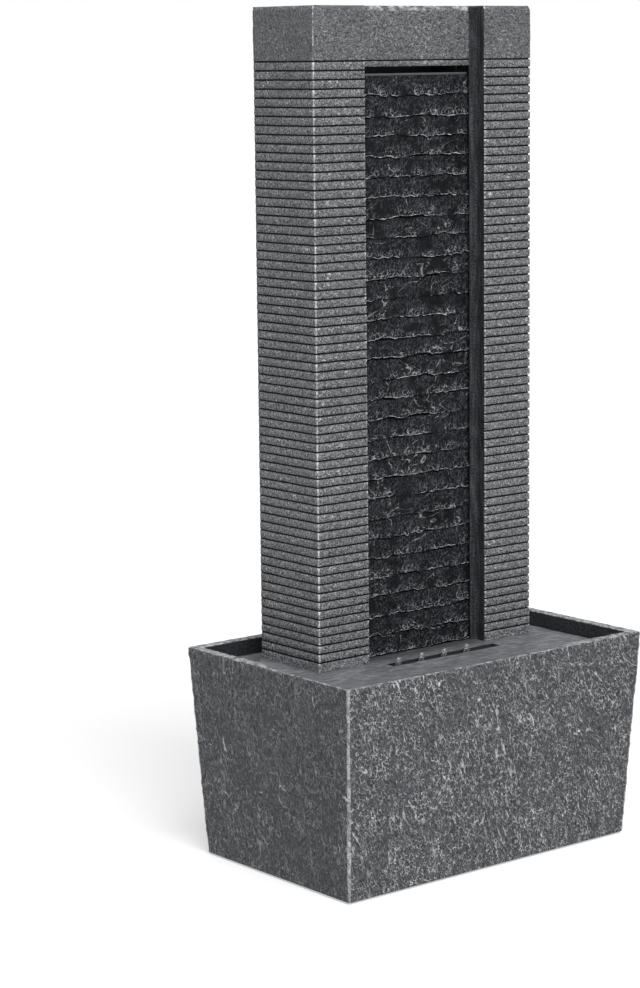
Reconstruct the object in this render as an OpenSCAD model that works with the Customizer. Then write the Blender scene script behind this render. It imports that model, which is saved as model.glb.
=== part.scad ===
// Garden fountain: a tapered basin, a deck with a row of lights, and a grooved tower
// whose split-slate wall carries the falling water back to the pump in the basin.
// The width runs along X, the front faces -Y, Z is up, and the origin is on the
// ground below the middle of the basin.

/* [Basin] */
// Width of the basin across its rim
rim_w = 343; // [310:1:380]
// Depth of the basin across its rim
rim_d = 222; // [214:1:250]
// Height of the rim above the ground
rim_h = 188; // [172:1:220]
// Width of the basin at its base
base_w = 324; // [300:1:340]
// Depth of the basin at its base
base_d = 197; // [188:1:214]
// Thickness of the wall at the rim
wall_t = 10; // [8:0.5:12]
// Width of the ledge inside the wall that carries the deck
ledge_w = 5; // [4:0.5:8]
// Thickness of the basin floor
floor_t = 9; // [6:0.5:12]
// Width of the thin lip that the rim keeps outside the deck's apron
lip_t = 3; // [2:0.5:5]

/* [Feet] */
// Diameter of a rubber foot
foot_d = 24; // [16:1:32]
// Height that a foot stands out below the basin
foot_h = 1.5; // [1:0.25:3]
// Depth of the pocket that a foot is glued into
foot_pocket = 2; // [1:0.5:4]
// Distance of a foot's centre from the base's edges
foot_inset = 26; // [20:1:40]

/* [Deck] */
// Distance from the rim down to the low part of the deck
deck_drop = 13.5; // [12:0.5:18]
// Thickness of the deck's plate
deck_t = 8; // [6:0.5:12]
// Height of the apron under and before the tower above the low deck
apron_rise = 4.5; // [3:0.5:8]
// Distance from the rim down to the apron's front edge
apron_drop = 1; // [0.5:0.25:3]
// Depth of the sloped band along the apron's front edge
apron_band = 52; // [40:1:60]
// Width of the sloped band along the apron's left edge
side_band = 30; // [20:1:34]
// Length of the water slot in front of the tower
slot_l = 124.5; // [116:0.5:136]
// Width of the water slot
slot_w = 10; // [8:0.5:14]
// Distance from the tower's front face to the middle of the slot
slot_ahead = 17.5; // [15:0.5:24]
// Distance of the middle of the slot to the right of the tower's middle
slot_shift = 2.75; // [0:0.25:6]

/* [Tower] */
// Height of the whole fountain
overall_h = 743; // [700:1:790]
// Width of the tower
tower_w = 248; // [236:1:256]
// Depth of the tower
tower_d = 82; // [76:1:90]
// Distance of the tower's front face ahead of the basin's middle
tower_front = 16; // [12:1:20]
// Width of one pillar
pillar_w = 56; // [50:1:60]
// Wall of the cast shell
shell_t = 6; // [5:0.5:8]
// Height of the smooth cap above the grooves
cap_h = 46; // [36:1:60]
// Distance of the header behind the pillars' front faces
header_recess = 13; // [10:0.5:16]
// Height of the smooth strip below the header's groove
header_strip = 5; // [4:0.5:8]
// Radius of the rounded top edges
top_r = 4; // [2:0.5:6]
// Width of the worn bevel down each upright corner
corner_bevel = 1.6; // [1:0.2:3]

/* [Grooves] */
// Number of grooves round each pillar
groove_count = 68; // [40:1:76]
// Height of one groove
groove_h = 1.2; // [0.8:0.1:2]
// Depth of one groove
groove_t = 1.4; // [0.8:0.1:2]
// Height of the lowest groove above the tower's foot
groove_start = 8.2; // [5:0.1:14]

/* [Water wall] */
// Number of slate courses in the wall
course_count = 29; // [20:1:34]
// Distance of the wall's face behind the pillars' front faces
wall_recess = 16; // [13:0.5:18]
// Thickness of the wall's panel to its mean face
panel_t = 13; // [11:0.5:16]
// Distance that a course stands out at its lower edge
course_out = 2; // [1:0.2:3]
// Height of the gap that the water leaves by, under the header
outlet_gap = 8; // [7:0.5:12]

/* [Lights] */
// Number of lights in the slot
led_count = 4; // [2:1:4]
// Distance between two lights
led_pitch = 26.6; // [22:0.1:28]
// Diameter of a light's dome
led_d = 5; // [4:0.5:6]
// Height of a light above its bar
led_h = 8.6; // [7:0.2:11]
// Distance of the first light to the left of the tower's middle
led_first_x = 50; // [46:0.5:54]

/* [Pump] */
// Length of the pump's motor block
motor_l = 44; // [40:1:50]
// Width of the pump's motor block
motor_w = 46; // [44:1:50]
// Height of the pump's motor block
motor_h = 48; // [46:1:52]
// Diameter of the pump's chamber
chamber_d = 42; // [40:0.5:44]
// Diameter of the impeller
impeller_d = 30; // [24:0.5:33]
// Diameter of the impeller's shaft
shaft_d = 3; // [2:0.25:4]
// Inner diameter of the riser hose
hose_bore_d = 14; // [12.5:0.5:16]
// Wall of the riser hose
hose_wall = 2; // [1.5:0.25:2.5]

/* [Fits] */
// Gap round pieces that are laid in or slide past each other
lay_gap = 0.4; // [0.3:0.05:0.6]
// Radial gap of a running bearing
run_gap = 0.05; // [0.02:0.01:0.1]
// Radial gap of a screw in its pilot hole
pilot_gap = 0.05; // [0.02:0.01:0.1]
// Radial gap of a screw in its clearance hole
screw_gap = 0.3; // [0.2:0.05:0.5]

/* [Hidden] */
$fn = 64;

// Overrun of every cut past the face that it opens
over = 1;

// Heights
base_z = foot_h;
floor_z = base_z + floor_t;
deck_z = rim_h - deck_drop;
ledge_z = deck_z - deck_t;
apron_z = deck_z + apron_rise;
apron_top = rim_h - apron_drop;
tower_z = apron_z;
groove_top_z = overall_h - cap_h;
groove_low_z = tower_z + groove_start;
groove_pitch = (groove_top_z - groove_low_z) / (groove_count - 1);
header_z = groove_top_z - header_strip;
panel_top = header_z - outlet_gap;

// Places along the depth
tower_back = tower_d - tower_front;
face_y = wall_recess - tower_front;
header_y = header_recess - tower_front;
panel_back = face_y + panel_t;
web_back = panel_back + shell_t;
inner_x = tower_w / 2 - pillar_w;
slot_y = -tower_front - slot_ahead;

// Places of the pump, which stands on its cups below the riser hose
riser_y = 38;
cup_h = 6;
pump_z = floor_z + cup_h + motor_h / 2;
motor_from = 8;
cap_plate_t = 3;
motor_end = motor_from + motor_l + cap_plate_t;
outlet_h = 24.5;
barb_socket_l = 8;
socket_top = 22;

// Width and depth of the basin's outer faces at a height
function basin_w(z) = base_w + (rim_w - base_w) * (z - base_z) / (rim_h - base_z);
function basin_d(z) = base_d + (rim_d - base_d) * (z - base_z) / (rim_h - base_z);

// A block between two opposite corners
module block(from, to) {
    translate(from) cube(to - from);
}

// A round bar from a point, along X, Y or Z
module bar_x(d, at, l) {
    translate(at) rotate([0, 90, 0]) cylinder(d = d, h = l);
}
module bar_y(d, at, l) {
    translate(at) rotate([-90, 0, 0]) cylinder(d = d, h = l);
}
module bar_z(d, at, l) {
    translate(at) cylinder(d = d, h = l);
}

// An outline in X and Z carried along Y, or in Y and Z carried along X
module along_y(points, from_y, to_y) {
    translate([0, to_y, 0]) rotate([90, 0, 0]) linear_extrude(height = to_y - from_y) polygon(points);
}
module along_x(points, from_x, to_x) {
    translate([from_x, 0, 0]) rotate([90, 0, 90]) linear_extrude(height = to_x - from_x) polygon(points);
}

// A solid with four sloping sides, between two heights
module tapered(low_w, low_d, top_w, top_d, low_z, top_z) {
    reach_w = max(low_w, top_w) / 2;
    reach_d = max(low_d, top_d) / 2;
    intersection() {
        along_y([[-low_w / 2, low_z], [low_w / 2, low_z], [top_w / 2, top_z], [-top_w / 2, top_z]],
            -reach_d, reach_d);
        along_x([[-low_d / 2, low_z], [low_d / 2, low_z], [top_d / 2, top_z], [-top_d / 2, top_z]],
            -reach_w, reach_w);
    }
}

// The space inside the basin's walls, for a wall of a given thickness
module basin_space(wall, low_z, top_z) {
    tapered(basin_w(low_z) - 2 * wall, basin_d(low_z) - 2 * wall,
        basin_w(top_z) - 2 * wall, basin_d(top_z) - 2 * wall, low_z, top_z);
}

// A pan-headed screw with a cross recess, its head's underside on the origin, driven along -Z
screw_head_share = 1.9;
head_t_share = 0.7;
recess_share = 0.3;
module pan_screw(d, l) {
    head_d = d * screw_head_share;
    head_t = d * head_t_share;
    slit = d * recess_share;
    difference() {
        union() {
            cylinder(d = head_d, h = head_t);
            translate([0, 0, -l]) cylinder(d = d, h = l + head_t / 2);
        }
        for (turn = [0, 90]) {
            rotate([0, 0, turn]) translate([0, 0, head_t]) cube([head_d / 2, slit, head_t], center = true);
        }
    }
}

// Basin
drain_side = 54;
drain_x = base_w / 2 - drain_side;
drain_d = 18;
drain_flange_d = 27;
drain_flange_t = 3;
drain_seal_t = 1;
drain_grip_t = 3;
drain_grip_l = 7;
drain_lift = 1;
drain_z = floor_z + drain_d / 2 + drain_lift;
drain_face_y = basin_d(drain_z - drain_flange_d / 2) / 2 - drain_flange_t - drain_seal_t;
drain_inner_y = basin_d(drain_z) / 2 - wall_t - ledge_w;
grommet_side = 54;
grommet_x = base_w / 2 - grommet_side;
grommet_d = 16;
grommet_flange_d = 24;
grommet_flange_t = 2.5;
grommet_bore = 7;
grommet_below_deck = 26;
grommet_z = deck_z - grommet_below_deck;
grommet_face_y = basin_d(grommet_z - grommet_flange_d / 2) / 2 - grommet_flange_t;
grommet_inner_y = basin_d(grommet_z) / 2 - wall_t - ledge_w;

// Where the deck's apron reaches over the rim
apron_seat_z = apron_z;
apron_edge_x = rim_w / 2 - lip_t;
apron_edge_y = rim_d / 2 - lip_t;
apron_right_x = 60;
apron_left_end_y = -18;
apron_back_y = tower_back;
apron_right_gap = 1;
apron_corner_y = 25;

module foot_bar(d, from_z, to_z, side_x, side_y) {
    x = side_x * (base_w / 2 - foot_inset);
    y = side_y * (base_d / 2 - foot_inset);
    bar_z(d, [x, y, from_z], to_z - from_z);
}

module basin() {
    color("#4a4d51") difference() {
        tapered(base_w, base_d, rim_w, rim_d, base_z, rim_h);
        basin_space(wall_t + ledge_w, floor_z, ledge_z + over);
        basin_space(wall_t, ledge_z, rim_h + over);
        block([-apron_edge_x, -apron_edge_y, apron_seat_z],
            [apron_right_x, -apron_edge_y + 2 * wall_t, rim_h + over]);
        block([-apron_edge_x, -apron_edge_y, apron_seat_z],
            [-apron_edge_x + 2 * wall_t, apron_left_end_y, rim_h + over]);
        for (sx = [-1, 1], sy = [-1, 1]) {
            foot_bar(foot_d + 2 * lay_gap, base_z - over, base_z + foot_pocket, sx, sy);
        }
        bar_y(drain_d + 2 * lay_gap, [drain_x, drain_inner_y - over - wall_t, drain_z], rim_d / 2);
        bar_y(drain_flange_d + 2 * lay_gap, [drain_x, drain_face_y, drain_z], rim_d / 2);
        bar_y(grommet_d + 2 * lay_gap, [grommet_x, grommet_inner_y - over - wall_t, grommet_z], rim_d / 2);
        bar_y(grommet_flange_d + 2 * lay_gap, [grommet_x, grommet_face_y, grommet_z], rim_d / 2);
    }
}

module foot(side_x, side_y) {
    color("#1c1c1e") foot_bar(foot_d, 0, base_z + foot_pocket, side_x, side_y);
}
module foot_front_left() { foot(-1, -1); }
module foot_front_right() { foot(1, -1); }
module foot_back_left() { foot(-1, 1); }
module foot_back_right() { foot(1, 1); }

module drain_plug() {
    flange_y = drain_face_y + drain_seal_t;
    grip_y = flange_y + drain_flange_t;
    color("#202124") union() {
        bar_y(drain_d, [drain_x, drain_inner_y, drain_z], flange_y - drain_inner_y);
        bar_y(drain_flange_d, [drain_x, flange_y, drain_z], drain_flange_t);
        block([drain_x - drain_d / 2, grip_y, drain_z - drain_grip_t / 2],
            [drain_x + drain_d / 2, grip_y + drain_grip_l, drain_z + drain_grip_t / 2]);
    }
}

module drain_seal() {
    color("#111111") difference() {
        bar_y(drain_flange_d, [drain_x, drain_face_y, drain_z], drain_seal_t);
        bar_y(drain_d + 2 * lay_gap, [drain_x, drain_face_y - over, drain_z], drain_seal_t + 2 * over);
    }
}

module cable_grommet() {
    neck_l = grommet_face_y - grommet_inner_y;
    color("#161616") difference() {
        union() {
            bar_y(grommet_d, [grommet_x, grommet_inner_y - grommet_flange_t, grommet_z],
                neck_l + 2 * grommet_flange_t);
            bar_y(grommet_flange_d, [grommet_x, grommet_face_y, grommet_z], grommet_flange_t);
            bar_y(grommet_d + 2 * grommet_flange_t,
                [grommet_x, grommet_inner_y - 2 * grommet_flange_t, grommet_z], grommet_flange_t);
        }
        bar_y(grommet_bore, [grommet_x, grommet_inner_y - rim_d / 2, grommet_z], rim_d);
    }
}

// Deck
bolt_d = 5;
bolt_head_d = 9;
bolt_head_t = 4;
washer_t = 1;
washer_d = 12;
nut_af = 8;
nut_t = 4;
nut_corner_d = nut_af / cos(30);
foot_web_t = 8;
bolt_y = (panel_back - tower_front + shell_t) / 2;
bolt_spread_share = 0.5;
bolt_xs = [for (side = [-1, 1], step = [-1, 1])
    side * (inner_x + pillar_w / 2 + step * bolt_spread_share * (pillar_w / 2 - shell_t))];
hatch_side = 20;
hatch_x = tower_w / 2 - hatch_side;
hatch_gap = 3;
led_bar_w = 6.8;
led_bar_drop = 2.2;
led_bar_top = apron_z - led_bar_drop;
led_tab_t = 6;
led_cap_t = 3;
led_bar_low = ledge_z - led_tab_t - led_cap_t;
led_tab_w = 12;
led_tab_reach = 15;
led_tab_screw = 11;
led_end_gap = 3;
led_bar_from = slot_shift - slot_l / 2 + led_end_gap;
led_bar_to = -led_first_x + (led_count - 1) * led_pitch + led_tab_w / 2;
led_tab_xs = [led_bar_from + led_tab_w / 2, led_bar_to - led_tab_w / 2];
small_screw_d = 3;
small_screw_l = 12;
screw_short = 1;

// The apron falls from the rim to the tower: a front band, and a band along its left edge
module apron_form() {
    right_end = tower_w / 2 + apron_right_gap;
    deck_edge_x = basin_w(deck_z) / 2 - wall_t;
    union() {
        intersection() {
            along_y([[-rim_w / 2, ledge_z], [-rim_w / 2, apron_top], [apron_right_x, apron_top],
                [right_end, apron_z], [deck_edge_x, deck_z], [deck_edge_x, ledge_z]],
                -rim_d / 2, rim_d / 2);
            along_x([[-rim_d / 2, ledge_z], [-rim_d / 2, apron_top], [-apron_edge_y, apron_top],
                [-apron_edge_y + apron_band, apron_z], [apron_back_y, apron_z],
                [apron_back_y, ledge_z]],
                -rim_w / 2, rim_w / 2);
        }
        intersection() {
            along_y([[-rim_w / 2, ledge_z], [-rim_w / 2, apron_top], [-apron_edge_x, apron_top],
                [-apron_edge_x + side_band, apron_z], [-apron_edge_x + side_band, ledge_z]],
                -rim_d / 2, rim_d / 2);
            along_x([[-rim_d / 2, ledge_z], [-rim_d / 2, apron_top], [apron_left_end_y, apron_top],
                [apron_back_y - tower_front, apron_z], [apron_back_y, apron_z],
                [apron_back_y, ledge_z]],
                -rim_w / 2, rim_w / 2);
        }
    }
}

module deck() {
    plate_w = basin_w(ledge_z) - 2 * wall_t - 2 * lay_gap;
    plate_d = basin_d(ledge_z) - 2 * wall_t - 2 * lay_gap;
    edge_x = apron_edge_x - lay_gap;
    edge_y = apron_edge_y - lay_gap;
    color("#515357") difference() {
        union() {
            block([-plate_w / 2, -plate_d / 2, ledge_z], [plate_w / 2, plate_d / 2, deck_z]);
            intersection() {
                apron_form();
                union() {
                    block([-plate_w / 2, -plate_d / 2, ledge_z], [plate_w / 2, plate_d / 2, rim_h]);
                    block([-edge_x, -edge_y, apron_seat_z],
                        [apron_right_x - lay_gap, -edge_y + 2 * wall_t, rim_h]);
                    block([-edge_x, -edge_y, apron_seat_z],
                        [-edge_x + 2 * wall_t, apron_left_end_y - lay_gap, rim_h]);
                }
            }
        }
        // the apron's slanting end, from the tower's back left corner to the left wall
        translate([0, 0, deck_z]) linear_extrude(height = deck_drop)
            polygon([[-tower_w / 2, apron_back_y], [-plate_w / 2, apron_corner_y],
                [-rim_w / 2, apron_corner_y], [-rim_w / 2, apron_back_y + over],
                [-tower_w / 2, apron_back_y + over]]);
        block([slot_shift - slot_l / 2, slot_y - slot_w / 2, ledge_z - over],
            [slot_shift + slot_l / 2, slot_y + slot_w / 2, rim_h]);
        block([-hatch_x, web_back + hatch_gap, ledge_z - over],
            [hatch_x, tower_back - shell_t - hatch_gap, rim_h]);
        for (x = bolt_xs) {
            bar_z(bolt_d + 2 * screw_gap, [x, bolt_y, ledge_z - over], deck_t + rim_h);
        }
        for (x = led_tab_xs, side = [-1, 1]) {
            bar_z(small_screw_d + 2 * pilot_gap,
                [x, slot_y + side * led_tab_screw, ledge_z - over], small_screw_l - led_tab_t + over);
        }
    }
}

// Tower
cover_t = 4;
cover_sink = 1;
cover_out_y = tower_back - cover_sink;
cover_in_y = cover_out_y - cover_t;
boss_w = 12;
boss_l = 14;
cover_screw_shares = [0.05, 0.35, 0.65, 0.95];
cover_low_z = tower_z + lay_gap;
cover_top_z = overall_h - shell_t - lay_gap;
cover_screw_zs = [for (share = cover_screw_shares) cover_low_z + share * (cover_top_z - cover_low_z)];
trough_h = 36;
trough_low_z = panel_top - trough_h;
web_top = trough_low_z;
cove_r = 6;
cove_lip = 0.8;
cove_back = face_y - course_out - lay_gap;
panel_screw_shares = [0.15, 0.8];
panel_screw_x_share = 0.6;
panel_screw_into = 7;
round_steps = 6;

function groove_z(i) = groove_low_z + i * groove_pitch;

// A grooved upright edge, from the bottom up, at a distance from the middle
function grooved_edge(half) = [for (i = [0 : groove_count - 1]) each [
    [half, groove_z(i) - groove_h / 2], [half - groove_t, groove_z(i) - groove_h / 2],
    [half - groove_t, groove_z(i) + groove_h / 2], [half, groove_z(i) + groove_h / 2]]];

// A rounded top corner at a distance from the middle
function top_corner(half) = [for (i = [0 : round_steps])
    [half - top_r + top_r * cos(90 * i / round_steps),
        overall_h - top_r + top_r * sin(90 * i / round_steps)]];

function turned(points) = [for (i = [len(points) - 1 : -1 : 0]) [-points[i][0], points[i][1]]];

module tower_block() {
    side = concat([[tower_w / 2, tower_z]], grooved_edge(tower_w / 2), top_corner(tower_w / 2));
    front = concat([[tower_front, tower_z]], grooved_edge(tower_front), top_corner(tower_front));
    back = concat([[tower_back, tower_z]], top_corner(tower_back));
    bevel_x = tower_w / 2 - corner_bevel;
    bevel_front = -tower_front + corner_bevel;
    bevel_back = tower_back - corner_bevel;
    intersection() {
        along_y(concat(side, turned(side)), -tower_front, tower_back);
        along_x(concat(back, turned(front)), -tower_w / 2, tower_w / 2);
        translate([0, 0, tower_z]) linear_extrude(height = overall_h - tower_z)
            polygon([[-bevel_x, -tower_front], [bevel_x, -tower_front],
                [tower_w / 2, bevel_front], [tower_w / 2, bevel_back],
                [bevel_x, tower_back], [-bevel_x, tower_back],
                [-tower_w / 2, bevel_back], [-tower_w / 2, bevel_front]]);
    }
}

// The smooth cove in a pillar's inner corner, in front of the slate and at the header's end
module cove() {
    centre_x = inner_x - cove_r;
    centre_y = cove_back - cove_lip - cove_r;
    arc = [for (i = [0 : round_steps]) [centre_x + cove_r * sin(90 * i / round_steps),
        centre_y + cove_r * cos(90 * i / round_steps)]];
    translate([0, 0, tower_z]) linear_extrude(height = overall_h - tower_z)
        polygon(concat([[centre_x, cove_back]], arc, [[inner_x + over, centre_y],
            [inner_x + over, cove_back]]));
}

module tower_shell() {
    open_x = inner_x + shell_t;
    wide_x = tower_w / 2 - shell_t;
    cap_z = overall_h - shell_t;
    color("#6b6e72") difference() {
        union() {
            difference() {
                tower_block();
                // the front recess, below and before the header
                block([-inner_x, -tower_front - over, tower_z - over], [inner_x, panel_back, header_z]);
                block([-inner_x, -tower_front - over, header_z - over],
                    [inner_x, header_y, overall_h + over]);
                // the room behind the web and inside the pillars
                block([-wide_x, web_back, tower_z - over], [wide_x, tower_back + over, cap_z]);
                for (side = [-1, 1]) {
                    block([side > 0 ? open_x : -wide_x, shell_t - tower_front, tower_z + foot_web_t],
                        [side > 0 ? wide_x : -open_x, web_back + over, cap_z]);
                }
                // the room for the trough, behind the header
                block([-inner_x, header_y + shell_t, web_top], [inner_x, web_back + over, cap_z]);
            }
            cove();
            mirror([1, 0, 0]) cove();
            // the posts that the back cover is screwed to
            for (side = [-1, 1], z = cover_screw_zs) {
                block([side > 0 ? wide_x - boss_w : -wide_x - over, cover_in_y - boss_l, z - boss_w / 2],
                    [side > 0 ? wide_x + over : boss_w - wide_x, cover_in_y, z + boss_w / 2]);
            }
        }
        // the header's groove, which runs out in the coves
        block([-inner_x, header_y - over, groove_top_z - groove_h / 2],
            [inner_x, header_y + groove_t, groove_top_z + groove_h / 2]);
        for (side = [-1, 1], z = cover_screw_zs) {
            bar_y(small_screw_d + 2 * pilot_gap,
                [side * (wide_x - boss_w / 2), cover_in_y - small_screw_l + cover_t, z], boss_l);
        }
        for (x = bolt_xs) {
            bar_z(bolt_d + 2 * screw_gap, [x, bolt_y, tower_z - over], foot_web_t + 2 * over);
        }
        for (side = [-1, 1], z = panel_screw_zs) {
            bar_y(small_screw_d + 2 * screw_gap,
                [side * panel_screw_x_share * inner_x, panel_back - over, z], shell_t + 2 * over);
        }
        for (side = [-1, 1]) {
            bar_y(small_screw_d + 2 * pilot_gap,
                [side * trough_tab_x, web_back - trough_screw_into, trough_screw_z], shell_t + over);
            bar_y(small_screw_d + 2 * pilot_gap,
                [side * clip_screw_x, web_back - trough_screw_into, clip_z], shell_t + over);
        }
    }
}

// Slate wall
panel_screw_zs = [for (share = panel_screw_shares) tower_z + share * (panel_top - tower_z)];
panel_w = 2 * (inner_x - lay_gap);
panel_low_z = tower_z + lay_gap;
course_h = (panel_top - panel_low_z) / course_count;
course_gap = 1;
course_back = 1.6;
// How far each course stands out, as shares of its full step
course_shares = [1, 0.7, 0.9, 0.6, 0.85, 0.75, 0.95];

// The wall's stepped face, from the top down: each course leans out to its lower edge
function course_points(i) = let (
    top = panel_low_z + (i + 1) * course_h,
    low = panel_low_z + i * course_h,
    step = course_out * course_shares[i % len(course_shares)])
    [[face_y, top], [face_y - step, low + course_gap], [face_y + course_back, low + course_gap],
        [face_y + course_back, low]];

module rock_panel() {
    face = [for (i = [course_count - 1 : -1 : 0]) each course_points(i)];
    color("#2b2d31") difference() {
        along_x(concat([[panel_back, panel_low_z], [panel_back, panel_top]], face),
            -panel_w / 2, panel_w / 2);
        for (side = [-1, 1], z = panel_screw_zs) {
            bar_y(small_screw_d + 2 * pilot_gap,
                [side * panel_screw_x_share * inner_x, panel_back - panel_screw_into, z],
                panel_screw_into + over);
        }
    }
}

module panel_screws() {
    l = shell_t + panel_screw_into - screw_short;
    color("silver") for (side = [-1, 1], z = panel_screw_zs) {
        translate([side * panel_screw_x_share * inner_x, web_back, z])
            rotate([-90, 0, 0]) pan_screw(small_screw_d, l);
    }
}

// Spill trough
trough_wall = 2.5;
trough_side_gap = 5;
trough_x = inner_x - trough_side_gap;
trough_rise = 14;
trough_behind = 10;
trough_back = riser_y + trough_behind;
weir_t = 1.8;
weir_gap = 0.3;
weir_front = 1;
trough_tab_x = 40;
trough_tab_w = 14;
trough_tab_h = 20;
trough_tab_t = 3;
trough_screw_z = trough_low_z - trough_tab_h / 2;
trough_screw_into = 5;
barb_gap = 0.25;
barb_d = hose_bore_d - 2 * barb_gap;
barb_wall = 1.8;
barb_l = 22;

module spill_trough() {
    front_y = panel_back + weir_gap;
    weir_z = panel_top + weir_gap;
    top_z = weir_z + weir_t;
    color("#3a3d42") difference() {
        union() {
            block([-trough_x, front_y, trough_low_z], [trough_x, trough_back, top_z + trough_rise]);
            block([-trough_x, face_y + weir_front, weir_z], [trough_x, front_y + over, top_z]);
            for (side = [-1, 1]) {
                block([side * trough_tab_x - trough_tab_w / 2, web_back, trough_low_z - trough_tab_h],
                    [side * trough_tab_x + trough_tab_w / 2, web_back + trough_tab_t, trough_low_z + over]);
            }
            bar_z(barb_d, [0, riser_y, trough_low_z - barb_l], barb_l + over);
        }
        block([trough_wall - trough_x, front_y + trough_wall, trough_low_z + trough_wall],
            [trough_x - trough_wall, trough_back - trough_wall, top_z + trough_rise + over]);
        block([-trough_x - over, front_y - over, top_z],
            [trough_x + over, header_y + shell_t + trough_wall + weir_gap, top_z + trough_rise + over]);
        block([trough_wall - trough_x, front_y - over, top_z],
            [trough_x - trough_wall, front_y + 2 * trough_wall, top_z + trough_rise + over]);
        bar_z(barb_d - 2 * barb_wall, [0, riser_y, trough_low_z - barb_l - over], barb_l + trough_h);
        for (side = [-1, 1]) {
            bar_y(small_screw_d + 2 * screw_gap, [side * trough_tab_x, web_back - over, trough_screw_z],
                trough_tab_t + 2 * over);
        }
    }
}

module trough_screws() {
    l = trough_tab_t + trough_screw_into - screw_short;
    color("silver") for (side = [-1, 1]) {
        translate([side * trough_tab_x, web_back + trough_tab_t, trough_screw_z])
            rotate([-90, 0, 0]) pan_screw(small_screw_d, l);
    }
}

// Back cover
cover_rib_t = 3;
cover_rib_l = 7;
cover_rib_share = 0.6;

module back_cover() {
    half = tower_w / 2 - shell_t - lay_gap;
    rib_x = cover_rib_share * half;
    color("#3f4246") difference() {
        union() {
            block([-half, cover_in_y, cover_low_z], [half, cover_out_y, cover_top_z]);
            for (side = [-1, 1]) {
                block([side * rib_x - cover_rib_t / 2, cover_in_y - cover_rib_l, cover_low_z + boss_w],
                    [side * rib_x + cover_rib_t / 2, cover_in_y + over, cover_top_z - boss_w]);
            }
        }
        for (side = [-1, 1], z = cover_screw_zs) {
            bar_y(small_screw_d + 2 * screw_gap,
                [side * (tower_w / 2 - shell_t - boss_w / 2), cover_in_y - over, z], cover_t + 2 * over);
        }
    }
}

module back_cover_screws() {
    color("silver") for (side = [-1, 1], z = cover_screw_zs) {
        translate([side * (tower_w / 2 - shell_t - boss_w / 2), cover_out_y, z])
            rotate([-90, 0, 0]) pan_screw(small_screw_d, small_screw_l);
    }
}

// Bolts from the deck up into the tower's foot
module tower_bolts() {
    head_z = ledge_z - washer_t;
    grip = tower_z + foot_web_t + nut_t - head_z;
    color("silver") for (x = bolt_xs) {
        translate([x, bolt_y, head_z]) union() {
            translate([0, 0, -bolt_head_t]) cylinder(d = bolt_head_d, h = bolt_head_t, $fn = 6);
            translate([0, 0, -bolt_head_t / 2]) cylinder(d = bolt_d, h = grip + bolt_head_t);
        }
    }
}

module tower_washers() {
    color("silver") for (x = bolt_xs) {
        translate([x, bolt_y, ledge_z - washer_t]) difference() {
            cylinder(d = washer_d, h = washer_t);
            translate([0, 0, -over]) cylinder(d = bolt_d + 2 * screw_gap, h = washer_t + 2 * over);
        }
    }
}

module tower_nuts() {
    color("silver") for (x = bolt_xs) {
        translate([x, bolt_y, tower_z + foot_web_t]) difference() {
            cylinder(d = nut_corner_d, h = nut_t, $fn = 6);
            translate([0, 0, -over]) cylinder(d = bolt_d + 2 * pilot_gap, h = nut_t + 2 * over);
        }
    }
}

// Riser hose, from the pump's barb up to the trough
hose_d = hose_bore_d + 2 * hose_wall;
hose_low_z = pump_z + outlet_h + barb_socket_l;
hose_end_gap = 0.5;
hose_top_z = trough_low_z - hose_end_gap;
clamp_h = 7;
clamp_t = 1.6;
clamp_gap = 0.2;
clamp_lug = 6;
clamp_z = trough_low_z - barb_l / 2;
clip_share = 0.5;
clip_z = tower_z + clip_share * (trough_low_z - tower_z);
clip_h = 10;
clip_t = 2;
clip_screw_x = 14;

module riser_hose() {
    color("#8a9096", 0.6) difference() {
        bar_z(hose_d, [0, riser_y, hose_low_z], hose_top_z - hose_low_z);
        bar_z(hose_bore_d, [0, riser_y, hose_low_z - over], hose_top_z - hose_low_z + 2 * over);
    }
}

module hose_clamp() {
    ring_d = hose_d + 2 * clamp_gap;
    out_r = ring_d / 2 + clamp_t;
    color("silver") difference() {
        union() {
            bar_z(2 * out_r, [0, riser_y, clamp_z - clamp_h / 2], clamp_h);
            block([out_r - clamp_t, riser_y - clamp_lug / 2, clamp_z - clamp_h / 2],
                [out_r + clamp_lug, riser_y + clamp_lug / 2, clamp_z + clamp_h / 2]);
        }
        bar_z(ring_d, [0, riser_y, clamp_z - clamp_h], 2 * clamp_h);
        bar_y(small_screw_d + 2 * pilot_gap, [out_r + clamp_lug / 2, riser_y - clamp_lug, clamp_z],
            2 * clamp_lug);
    }
}

module hose_clamp_screw() {
    out_r = hose_d / 2 + clamp_gap + clamp_t;
    color("silver") translate([out_r + clamp_lug / 2, riser_y + clamp_lug / 2, clamp_z])
        rotate([-90, 0, 0]) pan_screw(small_screw_d, clamp_lug + clip_t);
}

module hose_clip() {
    ring_d = hose_d + 2 * clamp_gap;
    pad_x = clip_screw_x + small_screw_d * screw_head_share;
    color("#2c2c2e") difference() {
        union() {
            bar_z(ring_d + 2 * clip_t, [0, riser_y, clip_z - clip_h / 2], clip_h);
            block([-clip_h / 2, web_back, clip_z - clip_h / 2], [clip_h / 2, riser_y, clip_z + clip_h / 2]);
            block([-pad_x, web_back, clip_z - clip_h / 2], [pad_x, web_back + clip_t, clip_z + clip_h / 2]);
        }
        bar_z(ring_d, [0, riser_y, clip_z - clip_h], 2 * clip_h);
        for (side = [-1, 1]) {
            bar_y(small_screw_d + 2 * screw_gap, [side * clip_screw_x, web_back - over, clip_z],
                clip_t + 2 * over);
        }
    }
}

module hose_clip_screws() {
    color("silver") for (side = [-1, 1]) {
        translate([side * clip_screw_x, web_back + clip_t, clip_z])
            rotate([-90, 0, 0]) pan_screw(small_screw_d, clip_t + trough_screw_into - screw_short);
    }
}

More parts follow.
